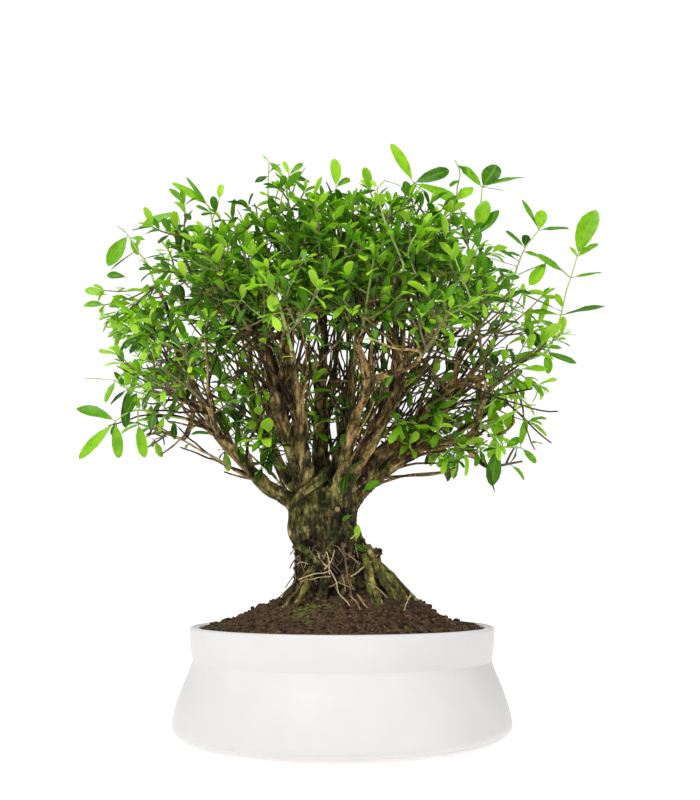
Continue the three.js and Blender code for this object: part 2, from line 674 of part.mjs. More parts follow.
// All twigs take their places before any blade does. A main twig is bent clear of what it would cross, from a
// little beyond the branch it stands on, and a side twig that would cross another node is left out.
const grown = plans.map((plan) => {
  const draw = drawsFrom(plan.seed);
  const turn = draw() * Math.PI;
  for (let attempt = 0; attempt < 20; attempt += 1) {
    const main = mainCurve(plan, attempt * 0.02, turn + attempt * GOLDEN_ANGLE);
    if (!crossesOther(plan.name, twigProbe(main, [CLEAR_OF_BRANCH, ...mainNodes(plan), 1]))) {
      place(plan.name, twigProbe(main, [0, ...mainNodes(plan), 1]));
      return { plan, main, turn, sides: plan.long ? [] : sideCurves(plan, main, turn, draw) };
    }
  }
  throw new Error(`${plan.name} has no clear way`);
});
grown.forEach((spray) => {
  spray.sides = spray.sides.filter((side) => {
    const probe = twigProbe(side.curve, [0, ...SIDE_NODES, 1]);
    if (crossesOther(spray.plan.name, probe)) return false;
    place(spray.plan.name, probe);
    return true;
  });
});

// A spray's skin as it grows. A twig is a four-sided tube, and blades and side twigs stand on its sides.
class Skin {
  points = [];
  faces = [];

  add(point) {
    this.points.push(point);
    return this.points.length - 1;
  }

  close([a, b, c, d]) {
    this.faces.push([a, b, c], [a, c, d]);
  }

  middle(quad) {
    return quad.reduce((sum, i) => sum.add(this.points[i]), new THREE.Vector3()).divideScalar(4);
  }

  // The way a side looks.
  outward([a, b, c]) {
    const edge = this.points[b].clone().sub(this.points[a]);
    return edge.cross(this.points[c].clone().sub(this.points[b])).normalize();
  }

  addBlade(quad, leaf) {
    const alignment = quad.map((corner, i) =>
      this.points[quad[(i + 1) % 4]].clone().sub(this.points[corner]).dot(leaf.side),
    );
    const first = alignment.indexOf(Math.max(...alignment));
    const foot = quad.map((_, i) => quad[(first + i) % 4]);
    const corners = [...foot, ...bladeCorners(leaf, 0).map((point) => this.add(point))];
    this.faces.push(...BLADE_FACES.map((face) => face.map((i) => corners[i])));
  }

  geometry() {
    return geometryFrom(this.points, this.faces);
  }
}

function tryBlade(skin, owner, quad, spread, length, draw) {
  const at = skin.middle(quad);
  const out = skin.outward(quad);
  const leaf = leafPlan(at, spread.along, out, spread.angle, length, draw);
  const whole = bladeProbe(leaf, 0);
  const withoutFoot = bladeProbe(leaf, FOOT_LENGTH);
  if (crossesOther(owner, whole) || crossesOwn(owner, withoutFoot)) {
    skin.close(quad);
    return;
  }
  place(owner, whole, withoutFoot);
  skin.addBlade(quad, leaf);
}

// Grows a twig from the four corners of its foot. Each node has two rings close together: its opposite sides
// carry blades, or the side twigs at the node where they leave. The last ring ends the twig in one blade.
function growTwig(skin, plan, foot, curve, nodes, draw) {
  const size = plan.long ? plan.leaf : LEAF_LENGTH;
  const length = curve.getLength();
  const normal = skin.points[foot[0]].clone().sub(skin.middle(foot));
  const ringAt = (t) => {
    const along = curve.getTangent(t);
    normal.addScaledVector(along, -normal.dot(along)).normalize();
    const across = along.clone().cross(normal);
    return Array.from({ length: 4 }, (_, k) => {
      const point = curve.getPoint(t);
      point.addScaledVector(normal, Math.cos((k * Math.PI) / 2) * twigRadius(t));
      point.addScaledVector(across, Math.sin((k * Math.PI) / 2) * twigRadius(t));
      return skin.add(point);
    });
  };
  const next = (k) => (k + 1) % 4;
  const sidesBetween = (low, high) => low.map((_, k) => [low[k], low[next(k)], high[next(k)], high[k]]);
  let ring = foot;
  nodes.forEach((node, i) => {
    const half = NODE_LENGTH / 2 / length;
    const low = ringAt(node.t - half);
    sidesBetween(ring, low).forEach((quad) => skin.close(quad));
    const high = ringAt(node.t + half);
    const along = curve.getTangent(node.t);
    sidesBetween(low, high).forEach((quad, k) => {
      const carries = k % 2 === i % 2;
      if (!carries) skin.close(quad);
      else if (node.sides) growSide(skin, plan, quad, node.sides);
      else tryBlade(skin, plan.name, quad, { along, angle: mix(0.8, 1.1, draw()) }, size, draw);
    });
    ring = high;
  });
  const spread = { along: curve.getTangent(1), angle: 0 };
  tryBlade(skin, plan.name, ring, spread, size, draw);
}

// The side twig that leaves on the way that a node's side looks, if there is one.
function growSide(skin, plan, quad, sides) {
  const out = skin.outward(quad);
  const side = sides.find((other) => other.curve.getTangent(0).dot(out) > 0.3);
  if (!side) {
    skin.close(quad);
    return;
  }
  const nodes = SIDE_NODES.map((t) => ({ t }));
  growTwig(skin, plan, quad, side.curve, nodes, drawsFrom(side.seed + 20));
}

function sprayGeometry({ plan, main, turn, sides }) {
  const skin = new Skin();
  const draw = drawsFrom(plan.seed + 10);
  const along = main.getTangent(0);
  const normal = aroundTwig(along, turn - Math.PI / 4);
  const across = along.clone().cross(normal);
  const foot = Array.from({ length: 4 }, (_, k) => {
    const point = main.getPoint(0);
    point.addScaledVector(normal, Math.cos((k * Math.PI) / 2) * TWIG_RADIUS);
    return skin.add(point.addScaledVector(across, Math.sin((k * Math.PI) / 2) * TWIG_RADIUS));
  });
  skin.close([...foot].reverse());
  const nodes = mainNodes(plan).map((t) => ({ t, sides: !plan.long && t === SIDE_TWIG_NODE ? sides : null }));
  growTwig(skin, plan, foot, main, nodes, draw);
  return skinOf(largestBody(solidFrom(skin.geometry())));
}

// Soil

// The soil's form before anything is cut from it: it fills the pot and is mounded up to the trunk.
function soilBody() {
  const wallRadius = WAIST_RADIUS - POT_WALL - GAP;
  const surface = (radius) => SOIL_RIM_HEIGHT + SOIL_SLOPE * (wallRadius - radius);
  const profile = [
    new THREE.Vector2(0, FLOOR_TOP + GAP),
    new THREE.Vector2(FLOOR_RADIUS - 2 * GAP, FLOOR_TOP + GAP),
    new THREE.Vector2(INNER_BELLY_RADIUS - 2 * GAP, INNER_BELLY_HEIGHT),
    new THREE.Vector2(wallRadius, WAIST_HEIGHT),
    new THREE.Vector2(wallRadius, SOIL_RIM_HEIGHT),
    ...SOIL_RING_RADII.map((radius) => new THREE.Vector2(radius, surface(radius))),
    new THREE.Vector2(0, surface(SOIL_RING_RADII[SOIL_RING_RADII.length - 1])),
  ];
  return solidFrom(new THREE.LatheGeometry(profile, POT_SIDES).rotateX(Math.PI / 2));
}

// The soil with the holes that the trunk and its roots stand in, and the drain mesh's bed under it.
function soilSolid() {
  const side = MESH_SIDE + 2 * GAP;
  const bed = new THREE.BoxGeometry(side, side, 2 * (MESH_THICKNESS + 2 * GAP));
  bed.translate(0, 0, FLOOR_TOP + GAP);
  const cuts = [trunkSolid(GAP), ...rootSolids(GAP), solidFrom(bed)];
  return largestBody(cuts.reduce((whole, cut) => whole.subtract(cut), soilBody()));
}

const materials = {
  ceramic: new THREE.MeshStandardMaterial({ color: 0xeceae8, roughness: 0.42, metalness: 0 }),
  net: new THREE.MeshStandardMaterial({ color: 0x2b2b2b, roughness: 0.6, metalness: 0 }),
  soil: new THREE.MeshStandardMaterial({ color: 0x4a3526, roughness: 0.95, metalness: 0 }),
  bark: new THREE.MeshStandardMaterial({ color: 0x7d6f55, roughness: 0.9, metalness: 0 }),
  leaf: new THREE.MeshStandardMaterial({ color: 0x3f8a1f, roughness: 0.5, metalness: 0 }),
};

const bonsai = new THREE.Group();

function addMesh(name, geometry, material) {
  const mesh = new THREE.Mesh(geometry, material);
  mesh.name = name;
  bonsai.add(mesh);
}

addMesh("pot", potGeometry(), materials.ceramic);
addMesh("drain_mesh", drainMeshGeometry(), materials.net);
addMesh("soil", skinOf(soilSolid()), materials.soil);
addMesh(
  "trunk_roots_and_limbs",
  skinOf(largestBody(woodSolids.reduce((whole, piece) => whole.add(piece)))),
  materials.bark,
);
grown.forEach((spray) => addMesh(spray.plan.name, sprayGeometry(spray), materials.leaf));

export default bonsai;
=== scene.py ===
"""The looks of a potted serissa bonsai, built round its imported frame. Sizes are in millimetres until a mesh
is made, and MM turns them into metres. The wood's layout follows the rules and draws of the solids."""

import math
import random

import bpy
import numpy as np
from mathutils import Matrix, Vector, noise


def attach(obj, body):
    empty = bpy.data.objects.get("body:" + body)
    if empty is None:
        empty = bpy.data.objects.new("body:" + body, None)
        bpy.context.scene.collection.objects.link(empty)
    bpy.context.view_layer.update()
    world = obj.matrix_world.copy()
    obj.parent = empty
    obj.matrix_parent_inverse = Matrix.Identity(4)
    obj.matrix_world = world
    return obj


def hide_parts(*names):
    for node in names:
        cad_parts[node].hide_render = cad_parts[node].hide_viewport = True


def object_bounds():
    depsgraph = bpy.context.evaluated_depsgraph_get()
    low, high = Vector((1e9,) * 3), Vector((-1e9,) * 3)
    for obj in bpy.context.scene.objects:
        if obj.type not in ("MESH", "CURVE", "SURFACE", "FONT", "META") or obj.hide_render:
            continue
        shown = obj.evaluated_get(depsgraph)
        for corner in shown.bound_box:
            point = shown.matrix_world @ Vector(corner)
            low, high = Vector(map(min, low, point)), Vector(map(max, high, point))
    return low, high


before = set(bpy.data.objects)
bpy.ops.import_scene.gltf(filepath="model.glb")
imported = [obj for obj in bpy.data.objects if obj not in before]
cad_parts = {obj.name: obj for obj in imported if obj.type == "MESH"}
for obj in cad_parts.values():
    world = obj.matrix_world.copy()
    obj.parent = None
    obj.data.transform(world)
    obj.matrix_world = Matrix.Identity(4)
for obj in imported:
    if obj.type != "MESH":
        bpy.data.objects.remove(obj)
cad_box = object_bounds()

MM = 0.001
UP = Vector((0, 0, 1))

# Camera: its place and pitch, and the focal length on a sensor as tall as the picture
CAMERA_PLACE = (4.2, -520, 84)
CAMERA_PITCH = 10.47
CAMERA_LENS = 41.8
CAMERA_SENSOR = 36
PICTURE_WIDTH = 700
PICTURE_HEIGHT = 800
FOCAL_PIXELS = CAMERA_LENS / CAMERA_SENSOR * PICTURE_HEIGHT

# Light: the world's strength on the object and as the camera sees it, and the floor's glow. The floor's
# size and the lamps' places and sizes are in metres
WORLD_LIGHT = 0.7
WORLD_SEEN = 1.05
FLOOR_GLOW = 0.5
FLOOR_HALF_SIDE = 6
LAMPS = {
    "key": {"place": (-0.45, -0.75, 1.1), "target": (0, 0, 0.17), "size": 0.45, "power": 13.5},
    "fill": {"place": (0.8, -0.6, 0.6), "target": (0, 0, 0.15), "size": 0.8, "power": 2.5},
}

# Pot, as in the solids: radii from its axis and heights from the surface. Its lower edge is rounder and
# its rim a little lower than theirs, as the picture shows it
POT_HEIGHT = 57
FOOT_RADIUS = 79
FOOT_RING_INNER_RADIUS = 71
FOOT_RECESS = 2.5
BELLY_RADIUS = 90
BELLY_HEIGHT = 10
BELLY_LOW = 6.3
BELLY_ROUNDING = 4.5
RIM_DROP = 1.6
RIM_ROUNDING = 1.5
RIM_WALL = 5
WAIST_RADIUS = 80.3
WAIST_HEIGHT = 39.5
WAIST_BAND = 4
RIM_RADIUS = 82
POT_WALL = 5.6
INNER_BELLY_RADIUS = BELLY_RADIUS - POT_WALL - 1
INNER_BELLY_HEIGHT = BELLY_HEIGHT + 5
FLOOR_RADIUS = INNER_BELLY_RADIUS - 5
FLOOR_TOP = 8.5
DRAIN_RADIUS = 8
POT_SIDES = 200
CLAY_LINE = 2.1
GLAZE_WAVE = {"size": 60, "height": 0.25}
GLAZE_RIPPLE = {"size": 14, "height": 0.06}
GAP = 0.3

# Soil: in front it rises evenly from the rim to the trunk's foot. Behind and at the sides it is heaped
# up, to a height on the left and on the right for each radius
SOIL_RADIUS = WAIST_RADIUS - POT_WALL - GAP
SOIL_RIM_HEIGHT = 50.5
SOIL_SLOPE = 0.4
SOIL_FOOT_RADIUS = 26
RING_RADII = (30, 36, 44, 52, 60, 68, 76)
LEFT_HEIGHTS = (70, 68.5, 65, 61.5, 58.5, 56.2, 54.6)
RIGHT_HEIGHTS = (74, 72, 67.5, 61, 57, 55.9, 54.8)
HEAP_HALF_WIDTH = 25
HEAP_FRONT = 12
HEAP_BLEND = 35
SOIL_WAVE = {"size": 17, "height": 1.2, "blend": 12, "least": 0.25}
SOIL_LUMP = {"size": 3.4, "height": 0.9}
SOIL_GRIT = {"size": 1.3, "height": 0.35}
# A darker patch of soil by the trunk's right flank, among its roots: painted shade
SHADED_FLANK = {"x": 36, "y": -8, "wide": 20, "deep": 26, "darker": 0.22}
MOSSY_PATCH = {"x": -15, "y": -36, "wide": 9, "deep": 7}
SHAFT_RADIUS = 20
SOIL_SIDES = 220
SOIL_RINGS = 70
CRUMBS = 2600
CRUMB_REACH = 72.5
SMALL_CRUMBS = 0.85
SMALL_CRUMB_SIZES = (0.35, 0.8)
LARGE_CRUMB_SIZES = (0.8, 1.6)
FIBRES = 260
FIBRE_REACH = 70
FIBRE_RADIUS = 0.22
FIBRE_LENGTHS = (2, 6)

# Trunk: its middle and half widths at each height, the stems that it is fused from, and its core
TRUNK_ROWS = [
    {"z": 54, "x": 3, "wide": 34, "deep": 31},
    {"z": 62, "x": 3, "wide": 33, "deep": 30},
    {"z": 72, "x": 1, "wide": 28, "deep": 25},
    {"z": 90, "x": -5, "wide": 21.5, "deep": 20},
    {"z": 110, "x": -10.5, "wide": 18.5, "deep": 17.5},
    {"z": 124, "x": -9, "wide": 18.5, "deep": 17},
    {"z": 134, "x": -8, "wide": 10, "deep": 9},
]
STEMS = 9
STEM_TWIST = 0.9
STEM_RADIUS = 7.6
CORE_HEIGHTS = (54, 128)
CORE_SHARE = 0.66
LIMB_FOOT_LENGTH = 34
STEM_STEPS = 24
SKIN_VOXEL = 0.75

# Where the trunk's bark is crumbly: heights and distances aside at which each change starts and ends
BARK_LOW = (112, 86)
BARK_FOOT = (104, 95)
BARK_FRONT = {"x": 3, "half_width": 17, "heights": (130, 120)}
BARK_LEFT = {"aside": (6, 18), "heights": (103, 93), "slant": 0.2, "slant_from": 110}
BARK_RIGHT = {"aside": (14, 26), "heights": (104, 94)}

# Surface roots, from the trunk down into the soil: points on each, and its radii at its two ends
ROOTS = [
    ([(8, -6, 92), (22, -8, 80), (37, -9, 68), (51, -10, 58), (58, -10, 53)], 7.4, 3),
    ([(7, -13, 88), (18, -22, 75), (29, -30, 63), (38, -36, 52)], 6.4, 2.8),
    ([(8, 6, 90), (24, 12, 76), (39, 19, 63), (50, 25, 52)], 6.8, 3),
    ([(-6, -15, 86), (-10, -26, 73), (-15, -35, 62), (-19, -41, 53)], 6, 2.6),
    ([(-17, -6, 84), (-23, -8, 74), (-31, -10, 64), (-38, -12, 55)], 5, 2.4),
    ([(-15, 8, 86), (-22, 16, 74), (-30, 25, 62), (-36, 31, 53)], 5, 2.4),
    ([(-2, 15, 88), (2, 26, 74), (6, 36, 62), (8, 43, 52)], 6.2, 2.6),
]

# A knob on the trunk's right side, sunk into it, given as a root is
KNOB = ([(12, -9, 88), (16, -9, 92), (19.5, -10, 94.5), (20.5, -10.5, 95)], 4, 3.2)

# On the right flank a root lies further in and lower than its points by this shift, in full past a blend
ROOT_SHIFT = (4.5, 0, 3)
FLANK_START = 12
FLANK_BLEND = 14
ROOT_STEPS = 26
ROOT_SHARE = 0.78
STRAND_SHARE = 0.72

# Strands of root that lie on the trunk and its roots, as roots are given
STRANDS = [
    ([(15, -13, 98), (24, -19, 84), (33, -23, 72), (44, -25, 60), (50, -26, 54)], 3.2, 1.8),
    ([(17, -8, 97), (29, -13, 84), (41, -16, 71), (53, -18, 60), (60, -19, 54)], 3, 1.6),
    ([(12, -17, 93), (18, -26, 80), (24, -33, 68), (30, -40, 56), (32, -43, 52)], 2.6, 1.6),
    ([(19, -6, 92), (34, -6, 80), (48, -6, 67), (62, -6, 56), (67, -6, 52)], 3, 1.7),
    ([(13, -16, 86), (22, -28, 74), (33, -36, 62), (40, -40, 54)], 2.2, 1.4),
    ([(17, 2, 94), (31, 4, 80), (45, 7, 67), (58, 10, 55)], 3.2, 1.8),
    ([(-17, -13, 86), (-23, -18, 75), (-30, -24, 65), (-36, -28, 54)], 2.6, 1.5),
    ([(16, -10, 96), (27, -15, 83), (37, -20, 71), (48, -22, 61), (56, -23, 53)], 2, 1.3),
    ([(18, -4, 95), (32, -9, 84), (45, -12, 71), (58, -12, 60), (64, -13, 53)], 2, 1.3),
    ([(10, -18, 88), (15, -27, 76), (21, -36, 64), (25, -43, 54)], 1.9, 1.2),
    ([(-14, -18, 92), (-18, -27, 78), (-25, -35, 64), (-30, -40, 55)], 2.6, 1.5),
    ([(-21, 3, 88), (-27, 5, 76), (-36, 8, 65), (-44, 9, 55)], 2.6, 1.5),
    ([(-12, 18, 92), (-16, 28, 76), (-20, 37, 62), (-24, 42, 54)], 2.8, 1.6),
    ([(8, 16, 92), (15, 26, 76), (22, 34, 63), (27, 40, 54)], 2.8, 1.6),
    ([(13, 12, 92), (28, 22, 74), (38, 30, 61), (44, 35, 53)], 2.4, 1.5),
]

# A stem that wraps round the trunk's left side: points as they are seen, the depth of each, and its radii
WRAPPING_STEM = {
    "picture": [
        (330, 470), (322, 478), (307, 489), (296.5, 501), (292, 516), (291.5, 531), (296, 543), (304, 550),
        (312, 555), (323, 566), (327, 572),
    ],
    "depths": [-8, -14, -19, -18.5, -16, -17, -20, -23, -25.5, -27, -24],
    "from": 3.6, "to": 1.15,
}

# Rootlets, straws and sticks on the trunk: points, radius and tone
STRAWS = [
    ([(0, -21, 99), (1.6, -25, 92), (2.6, -28.5, 84), (4.6, -31, 74), (5.6, -34, 67)], 0.95, 0.08),
    ([(19, -13, 93), (14, -19, 88), (9, -25, 84.5), (5, -30, 81.5)], 0.85, 0.62),
    ([(-11, -25, 89), (-7, -28, 86), (-3.5, -30, 80), (-2, -33, 74), (4, -37, 67)], 0.55, 0.8),
    ([(-23, -26, 80), (-15, -28.5, 82.5), (-7, -28.5, 84)], 0.5, 0.85),
    ([(-22, -26, 78.5), (-14, -28.5, 80.5), (-6, -29, 82)], 0.45, 0.75),
    ([(-8, -26.5, 94), (-6.5, -28.5, 88), (-6.5, -29.5, 83)], 0.45, 0.9),
    ([(-4, -26.5, 95), (-6, -28.5, 89), (-9, -29, 85)], 0.42, 0.8),
    ([(4.5, -22, 101), (7.5, -21, 103.5), (9, -20, 105)], 0.6, 0.85),
    ([(-13, -23, 93.5), (-11, -26, 89.5), (-8, -28.5, 86)], 0.9, 0.6),
    ([(-24, -21, 88), (-21, -22.5, 89), (-18, -23.5, 88)], 0.45, 0.7),
    ([(8, -32, 72), (11, -35, 68), (16, -38, 62)], 1.1, 0.45),
    ([(14, -31, 78), (19, -31, 75), (23, -33, 71)], 0.6, 0.55),
    ([(36, -25, 72), (33, -29, 67), (31, -33, 60)], 0.8, 0.6),
    ([(5, -36, 72), (9, -38, 66), (8, -41, 61)], 0.5, 0.6),
]
SCAR = {"place": (-2.6, -18.6, 117), "size": 1.4}
STRAW_SHARE = 0.52

# Loose rootlets on the trunk's front: how many, and the ranges that their form is drawn from
LOOSE_ROOTLETS = 90
ROOTLET_HEIGHTS = (66, 100)
ROOTLET_ANGLES = (-2.9, -0.3)
ROOTLET_LENGTHS = (4, 13)
ROOTLET_RADII = (0.18, 0.4)
TRUNK_SKIN = 1.02

# Limbs, from inside the top of the trunk outwards: the radius of each at its start, and points on it
LIMBS = [
    (5.6, [(-15, -5, 104), (-27, -8, 121), (-43, -12, 131), (-56, -15, 146), (-69, -17, 160),
           (-83, -19, 180), (-97, -20, 201)]),
    (4.4, [(-14, 3, 108), (-26, 0, 129), (-38, 5, 149), (-52, 10, 178), (-66, 15, 202)]),
    (5.4, [(-13, -7, 110), (-23, -10, 134), (-31, -18, 160), (-38, -26, 184), (-45, -32, 212)]),
    (5, [(-11, -9, 110), (-19, -14, 135), (-23, -23, 165), (-27, -32, 191), (-31, -40, 215)]),
    (5, [(-10, 2, 112), (-13, 4, 140), (-14, 11, 170), (-12, 18, 201), (-11, 22, 232)]),
    (4.8, [(-6, -8, 110), (-1, -16, 133), (5, -30, 158), (13, -42, 178), (25, -53, 206)]),
    (6.4, [(-5, -2, 106), (6, -4, 128), (23, -6, 148), (43, -8, 166), (61, -8, 187), (80, -8, 209)]),
    (5.2, [(-6, -6, 110), (2, -12, 131), (16, -18, 155), (27, -23, 180), (42, -29, 216)]),
    (5, [(-8, 6, 110), (-4, 10, 136), (1, 20, 170), (5, 30, 205), (10, 36, 236)]),
    (5.2, [(-4, 6, 108), (5, 10, 135), (22, 22, 168), (40, 34, 198), (56, 42, 224)]),
    (5, [(-12, 8, 108), (-21, 16, 137), (-36, 31, 167), (-50, 44, 196), (-60, 52, 220)]),
    (4.8, [(-9, 10, 110), (-10, 21, 143), (-15, 40, 176), (-18, 56, 208)]),
    (5, [(-3, 7, 106), (13, 14, 133), (37, 24, 156), (60, 33, 178), (80, 40, 202)]),
    (4, [(-3, -3, 108), (14, -3, 130), (32, -7, 144), (53, -10, 155), (74, -12, 160)]),
]
LIMB_END_RADIUS = 1.15
LIMB_END_LENGTH = 9
LIMB_STRAIGHTNESS = 0.6
TAPER = 1.3
BRANCH_FIRST_PLACE = 0.3
BRANCH_LAST_PLACE = 0.9
BRANCH_SPACING = 0.07
BRANCH_RADIUS = 1.6
BRANCH_END_RADIUS = 1.1

# The skin of limbs and branches: how far apart their rings lie, how they wander, and how knobbly they are
LIMB_SKIN = {"step": 1.6, "sides": 12, "wander_size": 26, "wander_reach": 1.3, "knobs": 0.24}
BRANCH_SKIN = {"step": 2.2, "sides": 8, "wander_size": 18, "wander_reach": 1.2, "knobs": 0.2}
LEAST_BRANCH_RINGS = 8
FIRST_BRANCH_NOISE = 40

# Crown: the form that the spray tips reach, measured from a centre above the trunk
CROWN_CENTRE = Vector((-3, 0, 125))
CROWN_REACH = {"left": 142, "right": 130, "front": 106, "back": 106, "up": 174}
CROWN_ROUNDNESS = 2.9
CROWN_FILL = 1.2
SIDE_ELEVATION = 0.12
FRONT_ELEVATION = 0.74
SPRAYS = 36
SPRAY_START = 0.67
SPRAY_END = 0.97
GOLDEN_ANGLE = math.pi * (3 - math.sqrt(5))
SIDE_TWIG_NODE = 0.2
SHORTEST_SIDE_TWIG = 0.62
LONGEST_SIDE_TWIG = 0.8
TWIG_RADIUS = 0.95
BEND_STEP = 0.02
MOST_BENDS = 20

# Long shoots that stand out of the crown: where each starts, a point that it bends by, and its tip
LONG_SHOOTS = [
    ((96, -2, 200), (119, -2, 213), (138, -1, 268)),
    ((90, 10, 222), (100, 10, 244), (112, 8, 282)),
    ((72, -10, 262), (77, -10, 284), (82, -10, 302)),
    ((38, -14, 270), (41, -15, 290), (45, -15, 310)),
    ((-35, -26, 258), (-39, -29, 280), (-42, -30, 305)),
    ((-4, -18, 272), (-3, -20, 288), (-3, -20, 303)),
    ((-70, 0, 266), (-75, 0, 282), (-80, 0, 300)),
    ((-92, 4, 262), (-99, 5, 276), (-107, 5, 290)),
    ((-108, -6, 246), (-117, -5, 256), (-126, -5, 266)),
    ((-86, -13, 167), (-108, -13, 173), (-130, -12, 160)),
    ((72, -13, 157), (87, -15, 160), (103, -17, 148)),
    ((27, -66, 232), (25, -71, 252), (20, -76, 276)),
]

